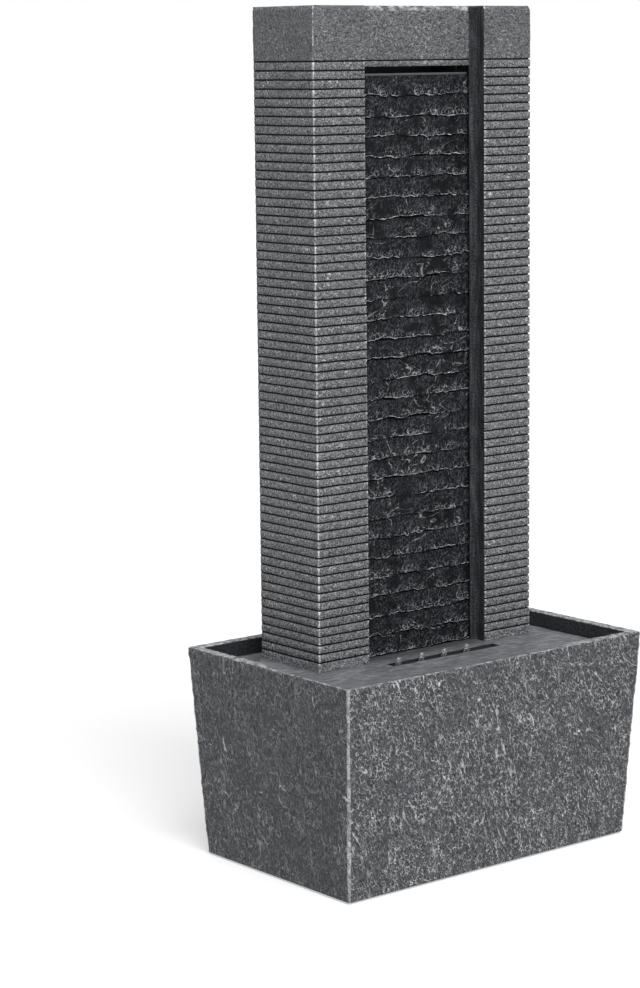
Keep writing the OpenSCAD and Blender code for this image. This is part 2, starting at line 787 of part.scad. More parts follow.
// Lights
led_flange_out = 0.9;
led_flange_d = led_d + led_flange_out;
led_flange_t = 1;
led_stem_d = 3.4;
board_t = 1.6;
board_gap = 0.2;
bar_pocket_w = 4.6;
board_above = 2;
board_z = ledge_z + board_above;

function led_x(i) = -led_first_x + i * led_pitch;

module led_bar() {
    color("#18191b") difference() {
        union() {
            block([led_bar_from, slot_y - led_bar_w / 2, led_bar_low],
                [led_bar_to, slot_y + led_bar_w / 2, led_bar_top]);
            for (x = led_tab_xs) {
                block([x - led_tab_w / 2, slot_y - led_tab_reach, ledge_z - led_tab_t],
                    [x + led_tab_w / 2, slot_y + led_tab_reach, ledge_z]);
            }
        }
        block([led_bar_from + led_end_gap / 2, slot_y - bar_pocket_w / 2, led_bar_low - over],
            [led_bar_to - led_end_gap / 2, slot_y + bar_pocket_w / 2, board_z + board_t]);
        for (i = [0 : led_count - 1]) {
            bar_z(led_stem_d + 2 * board_gap, [led_x(i), slot_y, board_z], led_bar_top);
        }
        for (x = led_tab_xs, side = [-1, 1]) {
            bar_z(small_screw_d + 2 * screw_gap,
                [x, slot_y + side * led_tab_screw, ledge_z - led_tab_t - over], led_tab_t + 2 * over);
        }
    }
}

module led_bar_cap() {
    x0 = led_bar_from + led_end_gap / 2 + board_gap;
    x1 = led_bar_to - led_end_gap / 2 - board_gap;
    half = bar_pocket_w / 2 - board_gap;
    color("#222326") difference() {
        block([x0, slot_y - half, led_bar_low], [x1, slot_y + half, board_z]);
        bar_z(lead_d + 2 * board_gap, [lead_x, slot_y, led_bar_low - over], board_z);
    }
}

module led_board() {
    x0 = led_bar_from + led_end_gap / 2 + board_gap;
    x1 = led_bar_to - led_end_gap / 2 - board_gap;
    half = bar_pocket_w / 2 - board_gap;
    color("#1d5c38") block([x0, slot_y - half, board_z], [x1, slot_y + half, board_z + board_t]);
}

module led_bar_screws() {
    color("silver") for (x = led_tab_xs, side = [-1, 1]) {
        translate([x, slot_y + side * led_tab_screw, ledge_z - led_tab_t])
            rotate([180, 0, 0]) pan_screw(small_screw_d, small_screw_l - screw_short);
    }
}

module led(i) {
    dome_r = led_d / 2;
    color("white", 0.5) translate([led_x(i), slot_y, 0]) union() {
        translate([0, 0, board_z + board_t]) cylinder(d = led_stem_d, h = led_bar_top - board_z - board_t);
        translate([0, 0, led_bar_top]) cylinder(d = led_flange_d, h = led_flange_t);
        translate([0, 0, led_bar_top]) cylinder(d = led_d, h = led_h - dome_r);
        translate([0, 0, led_bar_top + led_h - dome_r]) sphere(d = led_d);
    }
}
module led_1() { led(0); }
module led_2() { led(1); }
module led_3() { led(2); }
module led_4() { led(3); }

// The lights' lead, held inside from the bar down to the socket on the pump
lead_d = 2.4;
lead_x = 24;
lead_r = lead_d / 2;
lead_sides = 8;
socket_l = 12;
socket_x = motor_end + socket_l / 2;
socket_w = 12;
socket_h = 14;
socket_bore = 4;
plug_d = 8;
plug_h = 12;
plug_z = pump_z + socket_top;
// Places along the lead, as shares of its run from the bar to the plug
lead_shares = [[0, 0, 0], [0, 0, 0.09], [0.03, 0.01, 0.19], [0.14, 0.05, 0.28], [0.3, 0.13, 0.38],
    [0.49, 0.26, 0.46], [0.68, 0.4, 0.54], [0.81, 0.55, 0.61], [0.89, 0.7, 0.68], [0.94, 0.85, 0.77],
    [1, 0.95, 0.84], [1, 1, 0.91], [1, 1, 1]];
lead_from = [lead_x, slot_y, led_bar_low];
lead_run = [socket_x, riser_y, plug_z + plug_h] - lead_from;
lead_route = [for (share = lead_shares) lead_from
    + [share[0] * lead_run[0], share[1] * lead_run[1], share[2] * lead_run[2]]];

function unit(v) = v / norm(v);
function lead_dir(i) = i == 0 || i == len(lead_route) - 1 ? [0, 0, -1]
    : unit(lead_route[i + 1] - lead_route[i - 1]);

// One ring of the lead, square to its route
function lead_ring(i) = let (
    ahead = lead_dir(i),
    side = unit(cross(ahead, [1, 0, 0])),
    up = cross(side, ahead))
    [for (k = [0 : lead_sides - 1])
        lead_route[i] + lead_r * cos(360 * k / lead_sides) * side + lead_r * sin(360 * k / lead_sides) * up];

module led_lead() {
    rings = len(lead_route);
    points = [for (i = [0 : rings - 1]) each lead_ring(i)];
    walls = [for (i = [0 : rings - 2], k = [0 : lead_sides - 1])
        let (next = (k + 1) % lead_sides, a = i * lead_sides, b = a + lead_sides)
        each [[a + k, a + next, b + next], [a + k, b + next, b + k]]];
    start = [[for (k = [lead_sides - 1 : -1 : 0]) k]];
    end = [[for (k = [0 : lead_sides - 1]) (rings - 1) * lead_sides + k]];
    color("#121212") polyhedron(points, concat(walls, start, end));
}

module led_plug() {
    color("#1a1a1a") union() {
        bar_z(plug_d, [socket_x, riser_y, plug_z], plug_h);
        bar_z(socket_bore - 2 * lay_gap, [socket_x, riser_y, plug_z - socket_h / 2], socket_h / 2 + over);
    }
}

// Pump, drawn about the impeller's centre with its shaft along X
cup_d = 16;
cup_neck_d = 8;
cup_stem_d = 5;
cup_stem_l = 4;
cup_x_share = 0.76;
collar_front = -16;
chamber_front = -8;
chamber_back = 6;
chamber_wall = 2.5;
well_d = 18;
well_end = 38;
well_wall = 1.5;
pocket_w = 39;
pocket_h = 30;
pocket_from = 13;
outlet_stub_l = 9;
outlet_stub_d = 14;
outlet_bore = 10;
barb_shoulder = 2;
magnet_d = 16;
magnet_from = 7;
magnet_to = 34;
hub_d = 9;
shroud_d = 20;
blade_t = 1.6;
blade_count = 6;
blade_from = -6;
blade_to = 4;
bush_d = 7;
bush_t = 2.5;
cover_plate_t = 3;
eye_d = 5;
eye_circle_d = 14;
eye_shift = 1.5;
eye_count = 5;
seal_d = 1.6;

module at_pump() {
    translate([0, riser_y, pump_z]) children();
}

module pump_body() {
    color("#1b1c1e") at_pump() difference() {
        union() {
            block([motor_from, -motor_w / 2, -motor_h / 2], [motor_from + motor_l, motor_w / 2, motor_h / 2]);
            bar_x(chamber_d, [collar_front, 0, 0], motor_from - collar_front + over);
            bar_z(outlet_stub_d, [0, 0, 0], outlet_h + outlet_stub_l - barb_shoulder);
        }
        bar_x(chamber_d - 2 * chamber_wall, [collar_front - over, 0, 0], chamber_back - collar_front + over);
        bar_z(outlet_bore, [0, 0, 0], outlet_h + outlet_stub_l);
        bar_x(well_d, [0, 0, 0], well_end);
        difference() {
            block([pocket_from, -pocket_w / 2, -pocket_h / 2],
                [motor_from + motor_l + over, pocket_w / 2, pocket_h / 2]);
            bar_x(well_d + 2 * well_wall, [0, 0, 0], well_end + well_wall);
        }
        for (x = cup_xs, side = [-1, 1]) {
            bar_z(cup_stem_d + 2 * lay_gap, [x, side * cup_y, -motor_h / 2 - over], cup_stem_l + over);
        }
    }
}

// Stator, the iron core and its coil behind the rotor's well
leg_t = 8;
leg_gap = 0.6;
leg_h = 20;
leg_from = 15;
yoke_from = 43;
coil_over = 4;
coil_in = 3;
coil_w = 18;

module stator_core() {
    leg_y = well_d / 2 + well_wall + leg_gap;
    yoke_to = motor_from + motor_l - leg_gap;
    color("#777a7d") at_pump() union() {
        for (side = [-1, 1]) {
            block([leg_from, side > 0 ? leg_y : -leg_y - leg_t, -leg_h / 2],
                [yoke_to, side > 0 ? leg_y + leg_t : -leg_y, leg_h / 2]);
        }
        block([yoke_from, -leg_y - leg_t, -leg_h / 2], [yoke_to, leg_y + leg_t, leg_h / 2]);
    }
}

module stator_coil() {
    yoke_to = motor_from + motor_l - leg_gap;
    color("#a5642c") at_pump() difference() {
        block([yoke_from - coil_in, -coil_w / 2, -leg_h / 2 - coil_over],
            [yoke_to, coil_w / 2, leg_h / 2 + coil_over]);
        block([yoke_from - pilot_gap, -coil_w, -leg_h / 2 - pilot_gap],
            [yoke_to + over, coil_w, leg_h / 2 + pilot_gap]);
    }
}

module pump_rear_cap() {
    back = motor_from + motor_l;
    gland_d = 10;
    gland_l = 9;
    gland_bore = 6;
    gland_z = -10;
    color("#232427") at_pump() difference() {
        union() {
            block([back, -motor_w / 2, -motor_h / 2], [back + cap_plate_t, motor_w / 2, motor_h / 2]);
            block([back + cap_plate_t, -socket_w / 2, socket_top - socket_h],
                [back + cap_plate_t + socket_l, socket_w / 2, socket_top]);
            bar_x(gland_d, [back, 0, gland_z], cap_plate_t + gland_l);
        }
        bar_z(socket_bore, [socket_x, 0, socket_top - socket_h / 2 - over], socket_h);
        bar_x(gland_bore, [back + cap_plate_t, 0, gland_z], gland_l + over);
    }
}

module pump_cover() {
    color("#2a2b2e") at_pump() difference() {
        union() {
            bar_x(chamber_d - 2 * chamber_wall - 2 * lay_gap,
                [chamber_front - cover_plate_t, 0, 0], cover_plate_t);
            bar_x(bush_d + 2 * blade_t, [chamber_front - cover_plate_t - bush_t, 0, 0],
                cover_plate_t + bush_t);
        }
        bar_x(bush_d + 2 * pilot_gap, [chamber_front - bush_t, 0, 0], bush_t + over);
        bar_x(shaft_d + 2 * run_gap, [chamber_front - 2 * bush_t, 0, 0], 2 * bush_t + over);
        for (i = [0 : eye_count - 1]) {
            rotate([360 * i / eye_count, 0, 0])
                bar_x(eye_d, [chamber_front - motor_l, 0, eye_circle_d / 2 + eye_shift], motor_l + over);
        }
    }
}

module chamber_seal() {
    ring_r = chamber_d / 2 - chamber_wall - seal_d / 2 - lay_gap;
    color("#0d0d0d") at_pump() translate([chamber_front + seal_d / 2, 0, 0])
        rotate([0, 90, 0]) rotate_extrude() translate([ring_r, 0]) circle(d = seal_d);
}

module impeller() {
    color("#d8dade") at_pump() difference() {
        union() {
            bar_x(hub_d, [blade_from - blade_t / 2, 0, 0], magnet_from - blade_from + blade_t / 2);
            for (i = [0 : blade_count - 1]) {
                rotate([360 * i / blade_count, 0, 0])
                    block([blade_from, -blade_t / 2, (hub_d - blade_t) / 2],
                        [blade_to - blade_t / 2, blade_t / 2, impeller_d / 2]);
            }
            bar_x(shroud_d, [blade_to - blade_t, 0, 0], blade_t);
        }
        bar_x(shaft_d + 2 * run_gap, [blade_from - over, 0, 0], magnet_to);
    }
}

module rotor_magnet() {
    color("#3c3c40") at_pump() difference() {
        bar_x(magnet_d, [magnet_from, 0, 0], magnet_to - magnet_from);
        bar_x(shaft_d + 2 * run_gap, [magnet_from - over, 0, 0], magnet_to);
    }
}

module impeller_shaft() {
    from = chamber_front - bush_t;
    color("#f0efe8") at_pump() bar_x(shaft_d, [from, 0, 0], well_end - from);
}

module front_bush() {
    color("#101010") at_pump() difference() {
        bar_x(bush_d, [chamber_front - bush_t, 0, 0], bush_t);
        bar_x(shaft_d + 2 * pilot_gap, [chamber_front - bush_t - over, 0, 0], bush_t + 2 * over);
    }
}

module rear_bush() {
    color("#101010") at_pump() difference() {
        bar_x(well_d - 2 * pilot_gap, [well_end - bush_t, 0, 0], bush_t);
        bar_x(shaft_d + 2 * pilot_gap, [well_end - bush_t - over, 0, 0], bush_t + 2 * over);
    }
}

// Strainer that pulls off the pump's front, with its foam and its flow knob
strainer_from = -38;
strainer_to = -8.5;
strainer_wall = 2.5;
strainer_gap = 0.3;
slit_w = 2;
slit_count = 6;
slit_pitch = 4;
slit_h_share = 0.6;
knob_d = 20;
knob_t = 3;
knob_stem_d = 5;
knob_grip_t = 3;
knob_grip_l = 4;
knob_stem_end = 2.5;
knob_rim = 1;
foam_gap = 1;

module intake_strainer() {
    slit_h = slit_h_share * motor_h;
    first = strainer_from + strainer_wall + slit_w;
    color("#1f2023") at_pump() difference() {
        block([strainer_from, -motor_w / 2, -motor_h / 2], [strainer_to, motor_w / 2, motor_h / 2]);
        bar_x(chamber_d + 2 * strainer_gap, [collar_front - strainer_gap, 0, 0], motor_l);
        block([strainer_from + strainer_wall, strainer_wall - motor_w / 2, strainer_wall - motor_h / 2],
            [collar_front - 2 * strainer_gap, motor_w / 2 - strainer_wall, motor_h / 2 - strainer_wall]);
        bar_x(knob_stem_d + 2 * strainer_gap, [strainer_from - over, 0, 0], strainer_wall + 2 * over);
        for (i = [0 : slit_count - 1]) {
            if (first + i * slit_pitch + slit_w < collar_front) {
                block([first + i * slit_pitch, -motor_w, -slit_h / 2],
                    [first + i * slit_pitch + slit_w, motor_w, slit_h / 2]);
            }
        }
    }
}

module filter_foam() {
    half_w = motor_w / 2 - strainer_wall - foam_gap;
    half_h = motor_h / 2 - strainer_wall - foam_gap;
    foam_from = strainer_from + strainer_wall + knob_stem_end;
    color("#3b3f45") at_pump()
        block([foam_from, -half_w, -half_h], [collar_front - foam_gap, half_w, half_h]);
}

module flow_knob() {
    color("#c9ccd0") at_pump() union() {
        bar_x(knob_d, [strainer_from - strainer_gap - knob_t, 0, 0], knob_t);
        bar_x(knob_stem_d, [strainer_from - strainer_gap - over, 0, 0],
            strainer_wall + knob_stem_end / 2 + over);
        block([strainer_from - strainer_gap - knob_t - knob_grip_l, -knob_grip_t / 2, knob_rim - knob_d / 2],
            [strainer_from - strainer_gap - knob_t + over, knob_grip_t / 2, knob_d / 2 - knob_rim]);
    }
}

module outlet_barb() {
    low = outlet_h;
    shoulder_z = low + barb_socket_l;
    socket_d = outlet_stub_d + 2 * barb_shoulder;
    color("#26272a") at_pump() difference() {
        union() {
            bar_z(socket_d, [0, 0, low], barb_socket_l - strainer_gap);
            bar_z(barb_d, [0, 0, shoulder_z - over], barb_l + over);
        }
        bar_z(outlet_stub_d + 2 * pilot_gap, [0, 0, low - over],
            outlet_stub_l - barb_shoulder + over + pilot_gap);
        bar_z(outlet_bore, [0, 0, low], barb_l + motor_h);
    }
}

cup_xs = [motor_from + (1 - cup_x_share) * motor_l, motor_from + cup_x_share * motor_l];
cup_y = motor_w / 2 - cup_d / 2;

module suction_cups() {
    lip = 1;
    color("#cfd3d6") at_pump() for (x = cup_xs, side = [-1, 1]) {
        translate([x, side * cup_y, -motor_h / 2 - cup_h]) rotate_extrude()
            polygon([[0, cup_h / 2], [cup_d / 2 - lip, 0], [cup_d / 2, 0], [cup_neck_d / 2, cup_h - lip],
                [cup_neck_d / 2, cup_h], [cup_stem_d / 2, cup_h], [cup_stem_d / 2, cup_h + cup_stem_l - lip],
                [0, cup_h + cup_stem_l - lip]]);
    }
}

basin();
foot_front_left();
foot_front_right();
foot_back_left();
foot_back_right();
drain_plug();
drain_seal();
cable_grommet();
deck();
tower_shell();
rock_panel();
panel_screws();
spill_trough();
trough_screws();
back_cover();
back_cover_screws();
tower_bolts();
tower_washers();
tower_nuts();
riser_hose();
hose_clamp();
hose_clamp_screw();
hose_clip();
hose_clip_screws();
led_bar();
led_bar_cap();
led_board();
led_bar_screws();
led_1();
led_2();
led_3();
led_4();
led_lead();
led_plug();
pump_body();
pump_rear_cap();
stator_core();
stator_coil();
pump_cover();
chamber_seal();
impeller();
rotor_magnet();
impeller_shaft();
front_bush();
rear_bush();
intake_strainer();
filter_foam();
flow_knob();
outlet_barb();
suction_cups();
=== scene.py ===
"""The looks of a garden fountain: its finishes, and the cast and split stone that its plain solids stand for.

Everything is in metres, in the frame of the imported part: X across, Y to the back, Z up.
"""

import math

import bpy
import numpy as np
from mathutils import Matrix, Vector


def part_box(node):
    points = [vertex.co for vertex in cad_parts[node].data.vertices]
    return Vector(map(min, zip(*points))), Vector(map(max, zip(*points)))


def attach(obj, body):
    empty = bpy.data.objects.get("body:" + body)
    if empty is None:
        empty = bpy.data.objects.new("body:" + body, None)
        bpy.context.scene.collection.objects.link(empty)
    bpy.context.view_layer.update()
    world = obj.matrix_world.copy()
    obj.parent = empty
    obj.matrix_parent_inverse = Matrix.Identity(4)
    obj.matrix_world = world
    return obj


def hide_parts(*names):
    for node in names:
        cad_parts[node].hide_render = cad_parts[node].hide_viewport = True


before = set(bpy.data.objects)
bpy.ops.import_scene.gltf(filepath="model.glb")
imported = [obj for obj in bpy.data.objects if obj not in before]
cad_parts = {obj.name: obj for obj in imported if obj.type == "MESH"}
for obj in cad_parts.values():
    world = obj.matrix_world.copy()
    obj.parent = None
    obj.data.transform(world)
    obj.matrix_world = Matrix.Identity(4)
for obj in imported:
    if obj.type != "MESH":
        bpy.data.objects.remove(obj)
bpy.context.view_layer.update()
mm = 0.001

# Camera: it stands before the fountain's left front corner, about as high as the header,
# and looks slightly down.
camera_place = Vector((-1.5473, -1.7721, 0.7033))
camera_yaw = math.radians(39.072)
camera_pitch = math.radians(-9.263)
camera_roll = math.radians(-0.628)
sensor_size = 36.0
focal_length = 98.363

ahead = Vector((math.cos(camera_pitch) * math.sin(camera_yaw),
                math.cos(camera_pitch) * math.cos(camera_yaw), math.sin(camera_pitch)))
level = Vector((math.cos(camera_yaw), -math.sin(camera_yaw), 0))
upright = level.cross(ahead)
image_right = level * math.cos(camera_roll) + upright * math.sin(camera_roll)
image_up = upright * math.cos(camera_roll) - level * math.sin(camera_roll)
lens = bpy.data.cameras.new("camera")
lens.sensor_fit = "VERTICAL"
lens.sensor_height = sensor_size
lens.lens = focal_length
camera = bpy.data.objects.new("camera", lens)
camera.matrix_world = (Matrix.Translation(camera_place)
                       @ Matrix((image_right, image_up, -ahead)).transposed().to_4x4())
bpy.context.scene.collection.objects.link(camera)
bpy.context.scene.camera = camera
bpy.context.scene.view_settings.view_transform = "Standard"


# Lamps and floor: a soft white room, one large lamp above the front, and a pale floor that
# looks white but keeps the fountain's shadow.
class Value:
    """A number that varies over a surface: a shader socket, on which Python's operators add Math nodes."""

    def __init__(self, coat, socket):
        self.coat = coat
        self.socket = socket

    def math(self, operation, *numbers):
        """One Math node on numbers or values."""
        return self.coat.node("ShaderNodeMath", {"operation": operation}, dict(enumerate(numbers)))

    def __add__(self, other):
        return self.math("ADD", self, other)

    __radd__ = __add__

    def __sub__(self, other):
        return self.math("SUBTRACT", self, other)

    def __rsub__(self, other):
        return self.math("SUBTRACT", other, self)

    def __mul__(self, other):
        return self.math("MULTIPLY", self, other)

    __rmul__ = __mul__

    def __abs__(self):
        return self.math("ABSOLUTE", self)

    def either(self, other):
        """The larger of two values."""
        return self.math("MAXIMUM", self, other)

    def rise(self, low, high):
        """0 below low, 1 above high, and a smooth step between them."""
        return self.coat.node("ShaderNodeMapRange", {"interpolation_type": "SMOOTHSTEP"},
                              {"Value": self, "From Min": low, "From Max": high})

    def fall(self, low, high):
        """1 below low, 0 above high, and a smooth step between them."""
        return 1 - self.rise(low, high)


class Coat:
    """A procedural finish: the nodes of one material, or of the world."""

    def __init__(self, owner):
        owner.use_nodes = True
        self.owner = owner
        self.tree = owner.node_tree
        self.tree.nodes.clear()

    def node(self, kind, settings=None, inputs=None, output=0):
        """Adds one node: its settings, then the values or links of its sockets."""
        made = self.tree.nodes.new(kind)
        for key, value in (settings or {}).items():
            setattr(made, key, value)
        for key, value in (inputs or {}).items():
            socket = made.inputs[key]
            if isinstance(value, Value):
                self.tree.links.new(value.socket, socket)
            elif socket.type == "RGBA" and len(value) == 3:
                socket.default_value = (*value, 1)
            else:
                socket.default_value = value
        return Value(self, made.outputs[output]) if made.outputs else None

    def place(self):
        """The point's own coordinates, in metres."""
        return self.node("ShaderNodeTexCoord", output="Object")

    def stored(self, name):
        """A number that the mesh holds at each point."""
        return self.node("ShaderNodeAttribute", {"attribute_name": name}, output="Fac")

    def stretched(self, direction, share):
        """The coordinates drawn in along a direction, so that a pattern read there is long that way."""
        unit = Vector(direction).normalized()
        place = self.place()
        reach = self.node("ShaderNodeVectorMath", {"operation": "DOT_PRODUCT"}, {0: place, 1: unit}, "Value")
        part = self.node("ShaderNodeVectorMath", {"operation": "SCALE"}, {0: unit, "Scale": reach * share})
        return self.node("ShaderNodeVectorMath", {"operation": "SUBTRACT"}, {0: place, 1: part})

    def noise(self, size, detail=2.0, rough=0.5, place=None, seed=0.0, warp=0.0):
        """Noise from 0 to 1, about 0.5, with features of a size in metres."""
        return self.node("ShaderNodeTexNoise", {"noise_dimensions": "4D"},
                         {"Vector": place or self.place(), "W": seed, "Scale": 1 / size, "Detail": detail,
                          "Roughness": rough, "Distortion": warp})

    def wrinkles(self, size, width, detail=1.0, place=None, seed=0.0, warp=0.0):
        """Thin wavy lines, 1 along them and 0 between, where a noise passes its middle value."""
        return abs(self.noise(size, detail, 0.5, place, seed, warp) - 0.5).fall(0.0, width)

    def bent(self, place, size, reach, seed=0.0):
        """The coordinates pushed about by a noise, so that a pattern read there runs in curls."""
        push = self.node("ShaderNodeTexNoise", {"noise_dimensions": "4D"},
                         {"Vector": place, "W": seed, "Scale": 1 / size, "Detail": 1.0}, "Color")
        push = self.node("ShaderNodeVectorMath", {"operation": "SUBTRACT"}, {0: push, 1: (0.5, 0.5, 0.5)})
        push = self.node("ShaderNodeVectorMath", {"operation": "SCALE"}, {0: push, "Scale": reach})
        return self.node("ShaderNodeVectorMath", {"operation": "ADD"}, {0: place, 1: push})

    def edges(self, size, width, place):
        """Lines between cells of a size in metres, 1 along them and 0 within the cells."""
        cells = self.node("ShaderNodeTexVoronoi", {"feature": "DISTANCE_TO_EDGE"},
                          {"Vector": place, "Scale": 1 / size})
        return cells.fall(0.0, width)

    def mix(self, share, colour, other):
        """From a colour to another as the share goes from 0 to 1."""
        return self.node("ShaderNodeMix", {"data_type": "RGBA"}, {0: share, 6: colour, 7: other}, 2)

    def finish(self, colour, rough, height=None, depth=0.0, sockets=None):
        """The shader: colour, roughness, a height from 0 to 1 that stands for a depth in metres, and more."""
        inputs = {"Base Color": colour, "Roughness": rough, **(sockets or {})}
        if height is not None:
            inputs["Normal"] = self.node("ShaderNodeBump", {}, {"Height": height, "Distance": depth})
        shader = self.node("ShaderNodeBsdfPrincipled", {}, inputs)
        self.node("ShaderNodeOutputMaterial", {}, {"Surface": shader})
        return self.owner


def new_coat(name):
    """An empty finish for a piece."""
    return Coat(bpy.data.materials.new(name))


def seen(coat):
    """1 where the ray is the camera's own, or comes by a mirror or through glass."""
    rays = [coat.node("ShaderNodeLightPath", output=kind)
            for kind in ("Is Camera Ray", "Is Glossy Ray", "Is Transmission Ray")]
    return rays[0].either(rays[1]).either(rays[2])


room_light = 0.42
room_white = 1.0
world = Coat(bpy.data.worlds.new("room"))
lit = world.node("ShaderNodeBackground", {}, {"Color": (1, 1, 1), "Strength": room_light})
shown = world.node("ShaderNodeBackground", {}, {"Color": (1, 1, 1), "Strength": room_white})
world.node("ShaderNodeOutputWorld", {},
           {"Surface": world.node("ShaderNodeMixShader", {}, {0: seen(world), 1: lit, 2: shown})})
bpy.context.scene.world = world.owner

lamp_towards = Vector((-0.2, -0.62, 0.76)).normalized()
lamp_level = 0.90
lamp_softness = math.radians(40)
lamp_data = bpy.data.lights.new("key", "SUN")
lamp_data.angle = lamp_softness
lamp_data.energy = lamp_level * math.pi
lamp = bpy.data.objects.new("key", lamp_data)
lamp.matrix_world = lamp_towards.to_track_quat("Z", "Y").to_matrix().to_4x4()
bpy.context.scene.collection.objects.link(lamp)

floor_half = 40.0
floor_tone = 0.62
floor_glow = 0.45
floor_mesh = bpy.data.meshes.new("floor")
floor_mesh.from_pydata([(-floor_half, -floor_half, 0), (floor_half, -floor_half, 0),
                        (floor_half, floor_half, 0), (-floor_half, floor_half, 0)], [], [(0, 1, 2, 3)])
floor = bpy.data.objects.new("floor", floor_mesh)
bpy.context.scene.collection.objects.link(floor)
ground = new_coat("pale floor")
matt = ground.node("ShaderNodeBsdfDiffuse", {}, {"Color": (floor_tone,) * 3})
glow = ground.node("ShaderNodeEmission", {}, {"Color": (1, 1, 1), "Strength": floor_glow})
bright = ground.node("ShaderNodeAddShader", {}, {0: matt, 1: glow})
ground.node("ShaderNodeOutputMaterial", {},
            {"Surface": ground.node("ShaderNodeMixShader", {}, {0: seen(ground), 1: matt, 2: bright})})
floor_mesh.materials.append(ground.owner)


# Basin: a tapered tub, cast in one piece of stone-filled resin in a mould taken from split
# slate, stained dark and dry-brushed light. Its rim narrows to a lip round the deck.
def smooth_noise(points, size, seed):
    """Gradient noise from -1 to 1: each corner of a lattice has a hashed slope, blended over its cells."""
    cell = points / size
    low = np.floor(cell).astype(np.int64)
    part = cell - low
    ease = part ** 3 * (part * (part * 6 - 15) + 10)
    total = np.zeros(points.shape[:-1])
    for corner in np.ndindex(2, 2, 2):
        step = np.array(corner)
        key = (low + step) @ np.array([374761393, 668265263, 2147483647]) + seed * 974634777
        key = (key ^ (key >> 13)) * 1274126177 & 0x7FFFFFFF
        key = (key ^ (key >> 16)) & 0xFFFFF
        turn = (key & 1023) * (2 * np.pi / 1024)
        lift = (key >> 10) / 512 - 1
        flat = np.sqrt(1 - lift ** 2)
        slope = np.stack([flat * np.cos(turn), flat * np.sin(turn), lift], -1)
        weight = np.prod(np.where(step, ease, 1 - ease), -1)
        total += weight * ((part - step) * slope).sum(-1)
    return np.clip(total * 1.6, -1, 1)


def ridges(points, size, seed, layers=2):
    """Sharp crests from 0 to 1: one minus the size of a noise, in layers that each halve."""
    total = sum((1 - np.abs(smooth_noise(points, size / 2 ** k, seed + k))) ** 3 / 2 ** k
                for k in range(layers))
    return total / sum(1 / 2 ** k for k in range(layers))


def smooth_step(value, low, high):
    """0 below low, 1 above high, and a smooth step between them."""
    part = np.clip((value - low) / (high - low), 0, 1)
    return part * part * (3 - 2 * part)


def grid_faces(rows, columns, closed):
    """The faces of a grid of points, row by row; a closed grid joins its last column to its first."""
    row = np.arange(rows - 1)[:, None] * columns
    here = np.arange(columns if closed else columns - 1)[None, :]
    after = (here + 1) % columns
    return np.stack([row + here, row + after, row + columns + after, row + columns + here], -1).reshape(-1, 4)


def capped_faces(rows, columns):
    """The faces of a closed grid, with one face over its first row and one over its last."""
    last = (rows - 1) * columns
    caps = [list(range(columns))[::-1], list(range(last, last + columns))]
    return grid_faces(rows, columns, True).tolist() + caps


def new_mesh(name, points, faces, numbers=None, crease=None):
    """A mesh object from an array of points and lists of faces, with numbers stored at its points. Edges
    that turn by more than the crease, in degrees, stay sharp."""
    mesh = bpy.data.meshes.new(name)
    mesh.from_pydata(points.reshape(-1, 3), [], faces)
    for key, value in (numbers or {}).items():
        mesh.attributes.new(key, "FLOAT", "POINT").data.foreach_set("value", value.astype(np.float32).ravel())
    mesh.shade_smooth()
    if crease is not None:
        mesh.set_sharp_from_angle(angle=math.radians(crease))
    made = bpy.data.objects.new(name, mesh)
    bpy.context.scene.collection.objects.link(made)
    return made


def combine(target, tools, operation):
    """Cuts closed meshes out of a mesh, or joins them to it, and deletes them."""
    for tool in tools:
        change = target.modifiers.new("combine", "BOOLEAN")
        change.operation = operation
        change.solver = "MANIFOLD"
        change.object = tool
    depsgraph = bpy.context.evaluated_depsgraph_get()
    result = bpy.data.meshes.new_from_object(target.evaluated_get(depsgraph), depsgraph=depsgraph)
    target.modifiers.clear()
    target.data = result
    for tool in tools:
        bpy.data.objects.remove(tool)


def bar(centre, axis, radius, length, sides=40):
    """A closed round bar about a centre, along an axis."""
    turn = np.linspace(0, 2 * np.pi, sides, endpoint=False)
    ring = np.stack([np.cos(turn) * radius, np.sin(turn) * radius, turn * 0], -1)
    points = np.concatenate([ring - [0, 0, length / 2], ring + [0, 0, length / 2]])
    axes = np.array(Vector(axis).to_track_quat("Z", "Y").to_matrix())
    return new_mesh("cutter", points @ axes.T + np.array(centre), capped_faces(2, sides))


def block(low, high):
    """A closed block between two corners."""
    low, high = np.array(low), np.array(high)
    corners = np.array([(0, 0, 0), (1, 0, 0), (1, 1, 0), (0, 1, 0),
                        (0, 0, 1), (1, 0, 1), (1, 1, 1), (0, 1, 1)])
    faces = [(3, 2, 1, 0), (4, 5, 6, 7), (0, 1, 5, 4), (1, 2, 6, 5), (2, 3, 7, 6), (3, 0, 4, 7)]
    return new_mesh("cutter", low + corners * (high - low), faces)


def rounded_loop(steps, corner_steps):
    """Round a rectangle, counter-clockwise from its front left corner: each point's share of the half sizes,
    and the angle that it faces."""
    u, v, facing = [], [], []
    for side, count in enumerate(steps):
        turn = math.pi / 2 * side
        run = np.concatenate([np.linspace(-1, 1, count, endpoint=False), np.ones(corner_steps)])
        bend = np.linspace(0, math.pi / 2, corner_steps, endpoint=False)
        u.append(np.round(math.cos(turn)) * run + np.round(math.sin(turn)))
        v.append(np.round(math.sin(turn)) * run - np.round(math.cos(turn)))
        facing.append(turn - math.pi / 2 + np.concatenate([np.zeros(count), bend]))
    return np.concatenate(u), np.concatenate(v), np.concatenate(facing)


def loft(u, v, facing, half_x, half_y, corner, z):
    """Rows of a rounded rectangle: straight sides at the half sizes, and corners of one radius."""
    x = u * (half_x - corner) + corner * np.cos(facing)
    y = v * (half_y - corner) + corner * np.sin(facing)
    return np.stack(np.broadcast_arrays(x, y, z), -1)


